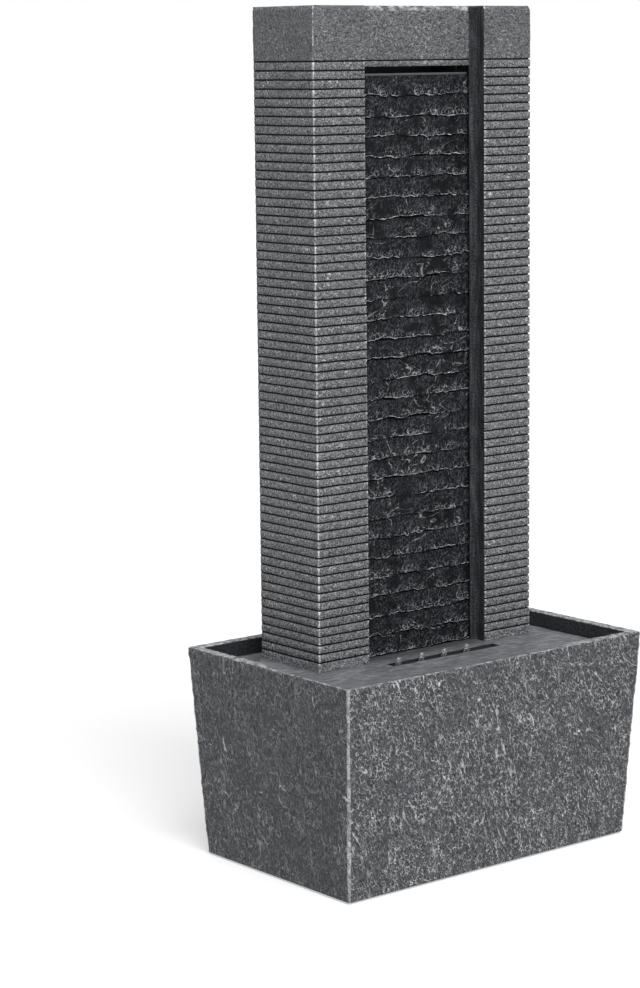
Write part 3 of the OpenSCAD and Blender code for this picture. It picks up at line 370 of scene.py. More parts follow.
base_z = 1.5 * mm
floor_z = 10.5 * mm
ledge_z = 166.5 * mm
rebate_z = 179 * mm
rebate_drop = 9 * mm
rim_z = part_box("basin")[1].z
rim_half = Vector(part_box("basin")[1][:2])
base_half = Vector((162 * mm, 98.5 * mm))
base_round = 1.2 * mm
rim_round = 1.4 * mm
upright_round = 2 * mm
lip = 3 * mm
wall = 10 * mm
ledge = 5 * mm
worn_width = 1.1 * mm
basin_steps = (264, 84, 120, 132)
basin_rows = 118
slate_lean = (0.45, -0.12, -1.0)


def lip_width(x, y):
    """The rim's width: a thin lip at the front and left, which widens to the wall behind and to the right."""
    right = smooth_step(x, 50 * mm, 112 * mm)
    behind = smooth_step(y, -20 * mm, 18 * mm)
    return lip + (wall - lip) * np.maximum(right, behind)


def leaning(points, lean, share):
    """Points drawn in along a direction, as stretched() does in a finish."""
    unit = np.array(Vector(lean).normalized())
    return points - (points @ unit)[..., None] * unit * share


def make_basin():
    """A rounded rectangle carried up the outside, over the rim and down the inside. The outer face stands out
    by large swells, leaning crests and fine grain, which fade at its edges."""
    u, v, facing = rounded_loop(basin_steps, 4)
    up = np.linspace(base_z + base_round, rim_z - rim_round, basin_rows)
    outer = [(0 * u + inset, 0 * u + z) for inset, z in
             [(base_round, base_z), (0.3 * mm, base_z + 0.3 * mm)] + [(0, z) for z in up]
             + [(0.3 * mm, rim_z - 0.5 * mm), (1.0 * mm, rim_z)]]
    edge = lip_width(u * rim_half.x, v * rim_half.y)
    rebate = rebate_z - smooth_step(edge, 0.5 * wall, wall) * rebate_drop
    inner = [(edge * 0.6, rim_z), (edge - 0.7 * mm, rim_z), (edge - 0.2 * mm, rim_z - 0.4 * mm),
             (edge, rim_z - 1.1 * mm), (edge, rebate), (0 * u + wall, rebate), (0 * u + wall, ledge_z),
             (0 * u + wall + ledge, ledge_z), (0 * u + wall + ledge, floor_z)]
    inset = np.stack([row[0] * np.ones_like(u) for row in outer + inner])
    z = np.stack([row[1] * np.ones_like(u) for row in outer + inner])
    rise = (z - base_z) / (rim_z - base_z)
    half_x = base_half.x + (rim_half.x - base_half.x) * rise - inset
    half_y = base_half.y + (rim_half.y - base_half.y) * rise - inset
    points = loft(u, v, facing, half_x, half_y, upright_round, z)
    flow = leaning(points, slate_lean, 0.72)
    crest = ridges(flow, 7 * mm, 3, 3)
    swell = smooth_noise(points, 38 * mm, 11)
    grain = smooth_noise(flow, 3.2 * mm, 5)
    fade = smooth_step(z, base_z, base_z + 4 * mm) * smooth_step(rim_z + 1 * mm - z, 0, 5 * mm)
    outside = (np.arange(len(z)) < len(outer))[:, None]
    out = outside * (fade * (0.4 * swell + 1.2 * (crest - 0.5) + 0.2 * grain) + 0.12 * grain) * mm
    points[..., 0] += out * np.cos(facing)
    points[..., 1] += out * np.sin(facing)
    top = (np.arange(len(z)) >= len(outer) - 1) & (np.arange(len(z)) < len(outer) + 3)
    points[..., 2] += top[:, None] * 0.22 * smooth_noise(points, 5 * mm, 8) * mm
    # Painted shade, in part: the sides get fewer pale strokes than the front, which darkens them as though
    # they got less light; the rest is thinner dry brush there.
    in_front = smooth_step(-np.sin(facing), 0.2, 0.8)
    relief = outside * (0.45 + 0.55 * in_front) * np.clip(0.9 + 0.5 * smooth_noise(points, 34 * mm, 31), 0, 1)
    corner_far = np.where(np.abs(u) == 1, (1 - np.abs(v)) * rim_half.y, (1 - np.abs(u)) * rim_half.x)
    wear = outside * np.maximum(0.95 * np.exp(-(corner_far / worn_width) ** 2) * np.ones_like(z),
                                np.exp(-((z - rim_z) / worn_width) ** 2))
    wear = np.where(top[:, None], 0.92, wear)
    # Inner faces below the rim, painted near black in the finish: partly unpainted resin, partly painted
    # shade of the well.
    within = (~outside & ~top[:, None]) * np.ones_like(u)
    return new_mesh("basin_cast", points, capped_faces(len(z), len(u)),
                    {"relief": relief, "wear": wear, "within": within}, 50)


def middle(name):
    """The middle of a node's box."""
    low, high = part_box(name)
    return (low + high) / 2


basin = make_basin()
foot_x = 136 * mm
foot_y = 72.5 * mm
foot_at = [(x, y, base_z) for x in (-foot_x, foot_x) for y in (-foot_y, foot_y)]
foot_pocket = 12.4 * mm
foot_sunk = 2 * mm
drain_bore = 9.4 * mm
seal_pocket = 13.9 * mm
lead_bore = 8.4 * mm
grommet_pocket = 12.4 * mm
grommet_flange = 2.5 * mm
inside_y = 60 * mm
cut_length = 0.2
back_holes = [("drain_seal", drain_bore, inside_y), ("drain_seal", seal_pocket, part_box("drain_seal")[0].y),
              ("cable_grommet", lead_bore, inside_y),
              ("cable_grommet", grommet_pocket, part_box("cable_grommet")[1].y - grommet_flange)]
holes = [bar(at, (0, 0, 1), foot_pocket, 2 * foot_sunk) for at in foot_at]
for name, radius, start_y in back_holes:
    at = middle(name)
    holes.append(bar((at.x, start_y + cut_length / 2, at.z), (0, 1, 0), radius, cut_length))
combine(basin, holes, "DIFFERENCE")


def cast_stone(name, dark, light, worn, lean, share, size, cover, depth, grain, streaks):
    """Stained cast stone: short curled wrinkles, drawn out one way and pale where the dry brush caught them,
    longer lines and sparse bright veins among them, pits between painted darker as the shade in them, and
    edges worn pale here and there. Inner faces and faces marked shade are painted dark: partly their own
    darker colour, partly painted shade.
    A higher cover leaves fewer wrinkles; grain and streaks strengthen the specks and the long lines."""
    coat = new_coat(name)
    flow = coat.stretched(lean, share)
    curls = coat.edges(size, 0.16, coat.bent(flow, size * 1.6, size * 0.25, 41))
    caught = coat.noise(size * 1.2, 1, 0.6, coat.stretched(lean, 0.4), 3)
    lines = coat.wrinkles(11 * mm, 0.018, 2, coat.stretched((0.25, -0.12, -1.0), 0.85), 6, 0.3)
    veins = coat.wrinkles(26 * mm, 0.008, 1, coat.stretched((0.6, -0.1, -0.8), 0.7), 4, 0.3)
    pits = coat.noise(2.0 * mm, 2, 0.6, flow, 21, 0.8)
    gaps = coat.noise(5 * mm, 1, 0.6, flow, 12)
    speck = coat.noise(1.2 * mm, 2, 0.7, seed=5)
    patch = coat.noise(24 * mm, 3, 0.6, seed=2).rise(0.35, 0.65)
    cloud = coat.noise(70 * mm, 3, 0.6, seed=8)
    strokes = (curls * caught.rise(cover, cover + 0.1)).either(lines * gaps.rise(0.44, 0.56) * streaks)
    pale = strokes * (0.4 + 0.6 * patch) * coat.stored("relief")
    pale = pale.either(veins * gaps.rise(0.5, 0.6) * 0.8 * streaks)
    colour = coat.mix(cloud.rise(0.3, 0.7), dark, [c * 1.25 for c in dark])
    # Painted shade: where the pits noise is low, in the bump's hollows, the colour darkens as their shade.
    colour = coat.mix(pits.rise(0.54, 0.34), colour, [c * 0.3 for c in dark])
    colour = coat.mix(speck.rise(0.45, 0.75) * grain * coat.stored("relief"), colour, light)
    colour = coat.mix(pale, colour, light)
    colour = coat.mix((coat.stored("wear") * 1.1 - gaps * 1.1 - speck * 0.5).rise(-0.05, 0.45), colour, worn)
    # Painted shade: the inner faces go near black, partly the unpainted resin and partly the shade of the
    # well.
    colour = coat.mix(coat.stored("within") * 0.9, colour, (0.019, 0.022, 0.026))
    # Painted shade: faces marked shade take a dark streaked colour, partly darker paint in the recess and
    # partly its shade.
    streak = coat.noise(2.5 * mm, 3, 0.6, coat.stretched((0, 0, 1), 0.9), 15)
    inner = coat.mix(streak.rise(0.4, 0.7), (0.012, 0.013, 0.016), (0.058, 0.060, 0.067))
    colour = coat.mix(coat.stored("shade") * 0.94, colour, inner)
    colour = coat.mix(coat.stored("groove"), colour, (0.004, 0.004, 0.005))
    height = pale * 0.5 + pits * 0.9 + speck * 0.15
    return coat.finish(colour, 0.66 - 0.1 * speck, height, depth, {"Specular IOR Level": 0.25})


def give_finish(piece, finish):
    """Gives a piece its one finish."""
    piece.data.materials.clear()
    piece.data.materials.append(finish)


give_finish(basin, cast_stone("basin stone", dark=(0.074, 0.078, 0.086), light=(0.88, 0.888, 0.90),
                              worn=(0.62, 0.625, 0.64), lean=slate_lean, share=0.55, size=2.2 * mm,
                              cover=0.45, depth=5 * mm, grain=0.15, streaks=1.0))
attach(basin, "basin_unit")
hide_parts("basin")


# Deck: a plate cast like the basin, laid on the ledge inside it. Its apron rises to the rim in
# front and on the left, carries the tower, and has the slot that the water drains into.
deck_low_z = 174.5 * mm
apron_z = 179 * mm
apron_climb = 8 * mm
front_band = 52 * mm
front_slope_end = (55 * mm, 128 * mm)
left_band = 30 * mm
left_slope_end = (-30 * mm, 30 * mm)
right_fall = (126 * mm, 162 * mm)
slant_across = (-40, 37.5)
deck_gap = 0.4 * mm
seat_half = (170.5 * mm, 109.8 * mm)
tower_half = 124 * mm
tower_back = 66 * mm
tower_half_deep = 41 * mm


def rim_of(grid):
    """The outermost entries of a grid, once round it from its first corner."""
    return np.concatenate([grid[0, :-1], grid[:-1, -1], grid[-1, :0:-1], grid[:0:-1, 0]])


def skirt(upper, lower):
    """The faces that join a loop of points to the loop below it."""
    return np.stack([np.roll(upper, -1), upper, lower, np.roll(lower, -1)], -1).tolist()


def deck_height(x, y):
    """The low plate, raised by the apron: hollow slopes up to the rim in front and on the left, a long slope
    down on the right, and a slanting step from the tower's back left corner to the left wall."""
    front = 1 - np.clip((y + rim_half.y - lip) / front_band, 0, 1)
    left = 1 - np.clip((x + rim_half.x - lip) / left_band, 0, 1)
    slope = front ** 1.5 * (1 - smooth_step(x, *front_slope_end))
    side_slope = left ** 1.5 * (1 - smooth_step(y, *left_slope_end))
    height = apron_z + apron_climb * np.maximum(slope, side_slope)
    height -= (apron_z - deck_low_z) * smooth_step(x, *right_fall)
    past = (x + tower_half) * slant_across[0] + (y - tower_back) * slant_across[1]
    past = past / math.hypot(*slant_across)
    low = np.maximum(smooth_step(past, -0.4 * mm, 1.8 * mm),
                     smooth_step(y, tower_back - 0.3 * mm, tower_back + mm))
    return height + (deck_low_z - height) * low


def make_deck():
    """A grid over the plate, drawn in to the rim's inner edge and lifted to its height, with its boundary
    carried down to the rebate and in to the ledge."""
    s, t = np.linspace(-1, 1, 150), np.linspace(-1, 1, 104)
    reach_x, reach_y = (half - deck_gap for half in seat_half)
    front_y = -(reach_y - lip_width(s * rim_half.x, -rim_half.y))
    left_x = -(reach_x - lip_width(-rim_half.x, t * rim_half.y))
    y = front_y[None, :] + (reach_y - wall - front_y[None, :]) * (t[:, None] + 1) / 2
    x = left_x[:, None] + (reach_x - wall - left_x[:, None]) * (s[None, :] + 1) / 2
    top = np.stack([x, y, deck_height(x, y)], -1)
    top[..., 2] += (0.25 * smooth_noise(top, 22 * mm, 21) + 0.10 * smooth_noise(top, 4 * mm, 22)) * mm
    border = rim_of(top)
    within = np.clip(np.abs(border[:, :2]), 0, [reach_x - wall, reach_y - wall]) * np.sign(border[:, :2])
    shelf = np.minimum(border[:, 2] - mm, rebate_z + deck_gap)
    rings = [border[:, :2], within, within]
    levels = [shelf, shelf, np.full(len(border), ledge_z)]
    rows, columns = top.shape[:2]
    rim = rim_of(np.arange(rows * columns).reshape(rows, columns))
    points = [top.reshape(-1, 3)]
    faces = grid_faces(rows, columns, False).tolist()
    upper = rim
    for number, (ring, level_z) in enumerate(zip(rings, levels)):
        lower = rows * columns + number * len(rim) + np.arange(len(rim))
        points.append(np.column_stack([ring, level_z]))
        faces += skirt(upper, lower)
        upper = lower
    faces.append(upper[::-1].tolist())
    points = np.concatenate(points)
    # The outer edge, painted black in the finish: painted shade in the gap between the deck and the rim.
    edge = np.zeros(len(points))
    edge[rim] = 1.0
    # Painted shade: darker where the deck runs in between the pillars, and close round the tower's foot.
    nook_shade = smooth_step(np.abs(top[..., 0]), 80 * mm, 60 * mm) * smooth_step(top[..., 1], -34 * mm, -6 * mm)
    foot = np.maximum(np.abs(top[..., 0]) - tower_half,
                      np.abs(top[..., 1] - tower_back + tower_half_deep) - tower_half_deep)
    shade = np.maximum(nook_shade, 0.7 * np.exp(-np.clip(foot, 0, 1) / (5 * mm)))
    step = np.abs(np.gradient(top[..., 2], axis=0)) + np.abs(np.gradient(top[..., 2], axis=1))
    relief = np.concatenate([smooth_step(step, 0.9 * mm, 2.2 * mm).ravel(), np.zeros(3 * len(rim))])
    shade = np.concatenate([shade.ravel(), np.zeros(3 * len(rim))])
    return new_mesh("deck_cast", points, faces, {"groove": edge, "relief": relief, "shade": shade}, 40)


deck = make_deck()
slot = ((-59.5 * mm, 65 * mm), (-38.5 * mm, -28.5 * mm))
hatch = ((-104 * mm, 104 * mm), (22 * mm, 57 * mm))
through = (0.15, 0.2)
combine(deck, [block(*zip(*hole, through)) for hole in (slot, hatch)], "DIFFERENCE")


def brushed_stone(name, dark, light):
    """Smooth cast stone: an even dark ground, faint short brush marks, pale edges, painted shade at the
    tower's foot and between the pillars, and a slot and an outer edge painted black: painted shade in them,
    and the slot's unpainted walls.
    """
    coat = new_coat(name)
    # The slot's footprint, painted black: its unpainted resin walls and painted shade inside it.
    in_slot = []
    for axis, (low, high) in zip("XY", slot):
        along = coat.node("ShaderNodeSeparateXYZ", {}, {"Vector": coat.place()}, axis)
        half = (high - low) / 2 + 0.05 * mm
        in_slot.append(abs(along - (low + high) / 2).fall(half, half + mm / 4))
    marks = coat.noise(2.2 * mm, 3, 0.6, coat.stretched((1, -0.2, 0.05), 0.75), 3)
    cloud = coat.noise(30 * mm, 3, 0.55, seed=9)
    speck = coat.noise(0.8 * mm, 2, 0.6, seed=12)
    colour = coat.mix(marks.rise(0.42, 0.66) * 0.7 + cloud.rise(0.35, 0.7) * 0.3, dark, light)
    colour = coat.mix(coat.stored("relief") * speck.rise(0.3, 0.6) * 0.7, colour, (0.3, 0.305, 0.31))
    # Painted shade at the tower's foot and in the nook between the pillars.
    colour = coat.mix(coat.stored("shade") * 0.75, colour, (0.02, 0.021, 0.024))
    # Painted shade: black along the deck's outer edge, in the gap to the rim, and in the slot, whose walls
    # are also unpainted resin.
    black = (coat.stored("groove") * 0.9).either(in_slot[0] * in_slot[1])
    colour = coat.mix(black, colour, (0.003, 0.003, 0.003))
    return coat.finish(colour, 0.66 + 0.15 * speck, marks * 0.7 + speck * 0.3, 0.25 * mm,
                       {"Specular IOR Level": 0.25})


give_finish(deck, brushed_stone("deck stone", (0.085, 0.089, 0.097), (0.26, 0.266, 0.278)))
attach(deck, "tower_unit")
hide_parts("deck")


# Tower shell: two grooved pillars, the header between them and the web behind the slate, cast
# in one piece and open at the back. It stands on the deck's apron, held by four bolts.
tower_low, tower_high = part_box("tower_shell")
tower_front = tower_low.y
tower_top = tower_high.z
inner_x = 68 * mm
shell_wall = 6 * mm
top_round = 4 * mm
plinth_height = 8.2 * mm
cap_height = 46 * mm
groove_count = 68
groove_low_z = tower_low.z + plinth_height
groove_top_z = tower_top - cap_height
groove_pitch = (groove_top_z - groove_low_z) / (groove_count - 1)
groove_deep = 1.5 * mm
crest_lean = (0.9, -0.3, -0.5)
strip_height = 5 * mm
header_z = groove_top_z - strip_height
header_y = -3 * mm
web_y = (13 * mm, 19 * mm)
sill_z = 648 * mm
cove_round = 6 * mm
cove_lip_y = (-2.4 * mm, -3.2 * mm)


def tower_rows():
    """Heights up the shell: seven to a groove, whose lips are rounded, then the cap and its rounded top. With
    each goes its depth in a groove, its wear, and how far the top's rounding draws it in."""
    step = np.array([-1.0, -0.74, -0.6, 0.6, 0.74, 1.0, 3.8]) * mm
    deep = np.array([0, 0.22, 1, 1, 0.22, 0, 0])
    worn = np.array([0.6, 0.75, 0, 0, 0.75, 0.6, 0])
    groove = groove_low_z + np.arange(groove_count)[:, None] * groove_pitch
    turn = np.linspace(0, np.pi / 2, 6)[1:]
    foot = np.array([0, 3, 5.5]) * mm + tower_low.z
    cap = np.linspace(groove_top_z + 6 * mm, tower_top - top_round, 17)
    plain, rounding = np.zeros(len(foot)), np.zeros(len(cap) + len(turn))
    z = np.concatenate([foot, (groove + step).ravel(), cap, tower_top - top_round + top_round * np.sin(turn)])
    depth = np.concatenate([plain, np.tile(deep, groove_count), rounding])
    wear = np.concatenate([plain, np.tile(worn, groove_count), rounding])
    inset = np.concatenate([np.zeros(len(z) - len(turn)), top_round * (1 - np.cos(turn))])
    wear[-len(turn):-1] = 0.8
    return z, depth, wear, inset


def pillar_plan():
    """Round the right pillar from its inner front corner: points, the way each faces, its share of the
    grooves, of the top's rounding, and of the wear of an upright edge."""
    def run(start, end, count, facing, grooved, rounded, worn=0.0):
        """A straight stretch of evenly spaced points, each with the stretch's own numbers."""
        share = np.linspace(0, 1, count)[:, None]
        points = np.array(start) + (np.array(end) - np.array(start)) * share
        return np.column_stack([points, np.tile([*facing, grooved, rounded, worn], (count, 1))])

    out, front, back = tower_high.x, tower_front, tower_high.y
    edge = 1.6 * mm
    bend = np.linspace(0, np.pi / 2, 4)[1:-1]
    corner = np.column_stack([out - edge + edge * np.sin(bend), front + edge - edge * np.cos(bend),
                              np.sin(bend), -np.cos(bend), 0 * bend + 1, 0 * bend + 1, 0 * bend + 0.9])
    turn = np.linspace(0, np.pi / 2, 7)
    cove = np.column_stack([inner_x - cove_round + cove_round * np.sin(turn),
                            cove_lip_y[1] - cove_round + cove_round * np.cos(turn),
                            0 * turn - 1, 0 * turn, 0 * turn, 0 * turn, 0 * turn])
    return np.concatenate([
        run((inner_x + 0.25 * mm, front + 0.25 * mm), (inner_x + 0.9 * mm, front), 2, (0, -1), 1, 1, 0.55),
        run((inner_x + 3 * mm, front), (out - edge - 1.5 * mm, front), 21, (0, -1), 1, 1),
        run((out - edge, front), (out - edge, front), 1, (0, -1), 1, 1, 0.3),
        corner,
        run((out, front + edge), (out, front + edge), 1, (1, 0), 1, 1, 0.3),
        run((out, front + edge + 1.5 * mm), (out, back - edge), 22, (1, 0), 1, 1),
        run((out - edge, back), (inner_x, back), 2, (0, 1), 0, 0),
        run((inner_x, cove_lip_y[0]), (inner_x - cove_round, cove_lip_y[0]), 2, (0, 1), 0, 0),
        cove,
        run((inner_x, cove_lip_y[1] - cove_round - mm), (inner_x, front + 0.9 * mm), 3, (-1, 0), 0, 0)])


def make_pillar(side):
    """The plan carried up the rows: sunk in the grooves, drawn in at the rounded top, and roughened by crests
    and pits on the ribs."""
    z, depth, worn, inset = (row[:, None] for row in tower_rows())
    x, y, face_x, face_y, grooved, rounded, upright_wear = pillar_plan().T
    points = np.stack(np.broadcast_arrays(side * x, y, z), -1)
    waver = smooth_noise(points * [1, 1, 3], 26 * mm, 31) + 0.5 * smooth_noise(points * [1, 1, 3], 7 * mm, 32)
    in_cap = smooth_step(z, groove_top_z + mm, groove_top_z + 5 * mm)
    rib = np.broadcast_to(grooved * (1 - depth), points.shape[:2])
    crest = ridges(leaning(points, crest_lean, 0.5), 6 * mm, 33, 3)
    pit = smooth_noise(points, 2.8 * mm, 36)
    out = rib * (0.22 * waver + (0.3 + 0.3 * in_cap) * (crest - 0.5) + 0.2 * pit) * mm
    sink = grooved * depth * groove_deep * (1 + 0.25 * waver) + rounded * inset
    points[..., 0] += side * face_x * (out - sink)
    points[..., 1] += face_y * (out - sink)
    points[..., 2] += grooved * (1 - in_cap) * 0.18 * waver * mm * smooth_step(z, 180 * mm, 186 * mm)
    wear = np.clip(grooved * (worn * (0.75 + 0.25 * waver) + upright_wear * (1 - depth)), 0, 1)
    faces = [face[::side] for face in capped_faces(*points.shape[:2])]
    relief = rib * (0.85 + 0.25 * crest - 0.55 * in_cap)
    groove = np.broadcast_to(grooved * (depth > 0.5), rib.shape)
    # Painted shade on the faces without grooves, the pillars' coves and inner faces: partly darker paint in
    # the recess, partly its shade.
    shade = (1 - grooved) * (z < tower_top - mm)
    return new_mesh("pillar", points, faces,
                    {"relief": relief, "wear": wear * (1 - 0.1 * in_cap), "groove": groove, "shade": shade})


def make_header():
    """A profile in Y and Z carried along X: the strip and groove at its foot, its rough face, and its rounded
    top, closed behind."""
    turn = np.linspace(0, np.pi / 2, 6)
    face_z = np.linspace(groove_top_z + 1.0 * mm, tower_top - top_round, 22)[:-1]
    y = np.concatenate([[tower_back, 10 * mm, header_y + 0.3 * mm, header_y, header_y, header_y + 0.3 * mm,
                         header_y + groove_deep, header_y + groove_deep, header_y + 0.3 * mm],
                        0 * face_z + header_y, header_y + top_round * (1 - np.cos(turn)), [tower_back]])
    z = np.concatenate([np.array([0, 0, 0, 0.3, 4.0, 4.3, 4.4, 5.6, 5.7]) * mm + header_z, face_z,
                        tower_top - top_round + top_round * np.sin(turn), [tower_top]])
    x = np.linspace(-inner_x - 2 * mm, inner_x + 2 * mm, 74)
    points = np.stack(np.broadcast_arrays(x[:, None], y, z), -1)
    crest = ridges(leaning(points, crest_lean, 0.5), 6 * mm, 43, 3)
    rough = y < header_y + mm
    points[..., 1] -= rough * (0.9 * (crest - 0.5) + 0.2 * smooth_noise(points, 3 * mm, 46)) * mm
    wear = np.zeros(len(y))
    wear[2:6] = (0.9, 0.6, 0.6, 0.9)
    wear[8] = 0.9
    wear[-7:-2] = 0.8
    groove = np.zeros(len(y))
    groove[6:8] = 1
    return new_mesh("header", points, capped_faces(*points.shape[:2]),
                    {"relief": (0.35 + 0.45 * crest) * rough, "wear": wear + 0 * crest,
                     "groove": groove + 0 * crest})


def mirrored(low, high):
    """A block between two corners, and its mirror image across the middle plane."""
    return [block(low, high), block((-high[0], low[1], low[2]), (-low[0], high[1], high[2]))]


shell = make_pillar(-1)
web = block((-inner_x - 2 * mm, web_y[0], tower_low.z), (inner_x + 2 * mm, web_y[1], sill_z))
combine(shell, [make_pillar(1), make_header(), web], "UNION")
room_x = tower_high.x - shell_wall
room_low_z = 150 * mm
roof_z = tower_top - shell_wall
hollow_low_z = 187 * mm
hollow_back = 20 * mm
beyond_y = 100 * mm
back_room = block((-room_x, web_y[1], room_low_z), (room_x, beyond_y, roof_z))
trough_room = block((-inner_x, header_y + shell_wall, sill_z), (inner_x, hollow_back, roof_z))
hollows = mirrored((inner_x + shell_wall, tower_front + shell_wall, hollow_low_z),
                   (room_x, hollow_back, roof_z))
combine(shell, [back_room, trough_room, *hollows], "DIFFERENCE")
post_wide = 12 * mm
post_half_high = 6 * mm
post_y = (47 * mm, 61 * mm)
post_zs = (207.3 * mm, 374.4 * mm, 541.6 * mm, 708.7 * mm)
posts = [post for post_z in post_zs
         for post in mirrored((room_x - post_wide, post_y[0], post_z - post_half_high),
                              (room_x + mm, post_y[1], post_z + post_half_high))]
combine(shell, posts, "UNION")
shell.data.set_sharp_from_angle(angle=math.radians(60))
give_finish(shell, cast_stone("tower stone", dark=(0.094, 0.098, 0.106), light=(0.80, 0.808, 0.825),
                              worn=(0.85, 0.85, 0.86), lean=(1, -0.1, -0.05), share=0.3, size=1.8 * mm,
                              cover=0.44, depth=3 * mm, grain=0.55, streaks=0.0))
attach(shell, "tower_unit")
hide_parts("tower_shell")


# Water wall: a panel of split slate laid in thin courses, each with a ragged lower edge that
# overhangs a dark joint. Screws through the web hold it from behind.
wall_low, wall_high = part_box("rock_panel")
course_count = 29
course_height = (wall_high.z - wall_low.z) / course_count
joint_deep = 1.6 * mm
wall_reach = (-4.5 * mm, 4 * mm)


def make_slate():
    """A grid over the wall. Up each course the face falls back from a ragged overhanging lip, with a dark
    joint under it; chips, facets and grain rough it up, and fade at the ends, behind the pillars' coves."""
    joint_shares = np.array([0, 0.5, 0.85, 1.0])
    face_shares = np.array([0.03, 0.09, 0.2, 0.32, 0.45, 0.58, 0.72, 0.86, 1.0])
    x = np.linspace(wall_low.x, wall_high.x, 108)
    line = np.stack([x, 0 * x, 0 * x], -1)

    def boundary(number):
        """The line under a course: its level height, made ragged by noises of four sizes inside the wall."""
        at = line + [0, 0, number * 0.173]
        if number in (0, course_count):
            return 0 * x + wall_low.z + number * course_height
        bent = sum(reach * smooth_noise(at, size * mm, seed)
                   for reach, size, seed in ((1.6, 42, 51), (1.4, 14, 52), (1.0, 5.5, 53), (0.5, 2.6, 50)))
        return wall_low.z + number * course_height + bent * mm

    rows = []
    for number in range(course_count):
        low, high = boundary(number), boundary(number + 1)
        at = line + [0, 0, number * 0.271]
        fades = smooth_step(smooth_noise(at, 30 * mm, 54) + 0.35, -0.25, 0.35)
        joint = (0.7 + 1.5 * smooth_step(smooth_noise(at, 24 * mm, 55), -0.2, 0.8)) * fades * mm + 0.1 * mm
        stands = (1.3 + 1.5 * smooth_noise(at, 36 * mm, 56) ** 2 + 0.8 * smooth_noise(at, 11 * mm, 57)) * mm
        stands = stands * (0.35 + 0.65 * fades)
        for part in joint_shares:
            out = (stands * 0.75 + joint_deep * fades) * (part == 1.0) + 0.6 * mm * (part == 0.85)
            rows.append((low + joint * part, out - joint_deep * fades, fades * (part == 1.0) * 0.8,
                         fades * (part < 0.9), 0 * x))
        for part in face_shares:
            out = stands * (1 - part) ** 1.3 * (1.0 if part > face_shares[0] else 1.05)
            rows.append((low + joint + (high - low - joint) * part, out, fades * (part == face_shares[0]),
                         0 * x, (1 - part) ** 1.5 * (0.4 + 0.6 * fades)))
    z, out, edge, joint, low = np.array(rows).swapaxes(0, 1)
    points = np.stack([np.broadcast_to(x, z.shape), 0 * z, z], -1)
    rising = leaning(points, (0.85, 0, 0.5), 0.5)
    crest = ridges(rising, 15 * mm, 58, 4)
    chips = smooth_noise(points, 7 * mm, 59)
    grain = smooth_noise(points, 2.6 * mm, 60)
    inside = smooth_step(inner_x - cove_round - np.abs(points[..., 0]), -1 * mm, 5 * mm)
    rough = (2.2 * (crest - 0.45) + 1.0 * chips + 0.5 * grain) * mm * (1 - 0.7 * (joint > 0.5))
    points[..., 1] = -np.where(inside > 0, (out + rough) * inside, 0) + (1 - inside) * 0.5 * mm
    points[..., 1] = np.clip(points[..., 1], *wall_reach)
    rim = rim_of(np.arange(z.size).reshape(z.shape))
    back = points.reshape(-1, 3)[rim] * [1, 0, 1] + [0, wall_high.y, 0]
    behind_rim = z.size + np.arange(len(rim))
    faces = grid_faces(*z.shape, False).tolist() + skirt(rim, behind_rim)
    faces.append(behind_rim[::-1].tolist())
    pad = np.zeros(len(rim))
    numbers = {key: np.concatenate([value.ravel(), pad])
               for key, value in (("relief", low), ("wear", edge), ("groove", joint))}
    return new_mesh("slate_wall", np.concatenate([points.reshape(-1, 3), back]), faces, numbers, 60)


def split_slate(name):
    """Split slate: blue-black, with faint upright wrinkles, curls that the dry brush caught above each
    ragged pale lip, bright slanting veins, hollows painted darker as their shade, and black joints, which
    also stand for the painted shadow under each lip."""
    coat = new_coat(name)
    flow = coat.stretched((0.25, 0, 1), 0.4)
    rising = coat.stretched((0.9, 0, 0.4), 0.45)
    faint = coat.edges(2.6 * mm, 0.15, coat.bent(flow, 4 * mm, 0.8 * mm, 2))
    curls = coat.edges(2.8 * mm, 0.12, coat.bent(rising, 5 * mm, 1.0 * mm, 7))
    veins = coat.wrinkles(30 * mm, 0.007, 2, rising, 8, 0.3)
    pebble = coat.noise(3 * mm, 2, 0.6, flow, 3, 1.6)
    gaps = coat.noise(4 * mm, 2, 0.6, seed=12)
    speck = coat.noise(0.8 * mm, 2, 0.7, seed=6)
    patch = coat.noise(14 * mm, 2, 0.5, seed=13)
    cloud = coat.noise(26 * mm, 3, 0.55, seed=4)
    faint = faint * pebble.rise(0.42, 0.54) * patch.rise(0.34, 0.50)
    near_lip = (coat.stored("relief") * 0.9 + patch * 1.2 - 0.95).rise(0.0, 0.5)
    bright = curls * pebble.rise(0.44, 0.54) * near_lip
    bright = bright.either(veins * speck.rise(0.3, 0.5) * gaps.rise(0.46, 0.56))
    colour = coat.mix(cloud.rise(0.35, 0.7), (0.003, 0.004, 0.005), (0.011, 0.013, 0.017))
    # Painted shade: where the pebble noise is low, in the bump's hollows, the colour darkens as their shade.
    colour = coat.mix(pebble.rise(0.54, 0.36), colour, (0.002, 0.002, 0.003))
    grit = coat.noise(1.5 * mm, 2, 0.7, flow, 17, 0.8).rise(0.5, 0.68) * patch.rise(0.3, 0.6)
    colour = coat.mix(faint.either(grit * 0.5), colour, (0.074, 0.078, 0.088))
    colour = coat.mix(bright * (0.45 + 0.55 * patch.rise(0.3, 0.6)), colour, (0.55, 0.558, 0.575))
    colour = coat.mix((coat.stored("wear") * 1.2 - gaps * 1.4 - speck * 0.4).rise(0.0, 0.4), colour,
                      (0.80, 0.808, 0.82))
    # Painted shadow, in part: the joints go black, as dark joints and as the shadow under each overhanging
    # lip.
    colour = coat.mix(coat.stored("groove") * 0.95, colour, (0.002, 0.002, 0.002))
    height = pebble * 1.0 + bright * 0.4 + speck * 0.15
    return coat.finish(colour, 0.55 + 0.15 * patch, height, 3.2 * mm, {"Specular IOR Level": 0.12})


slate = make_slate()
give_finish(slate, split_slate("slate"))
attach(slate, "tower_unit")
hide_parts("rock_panel")


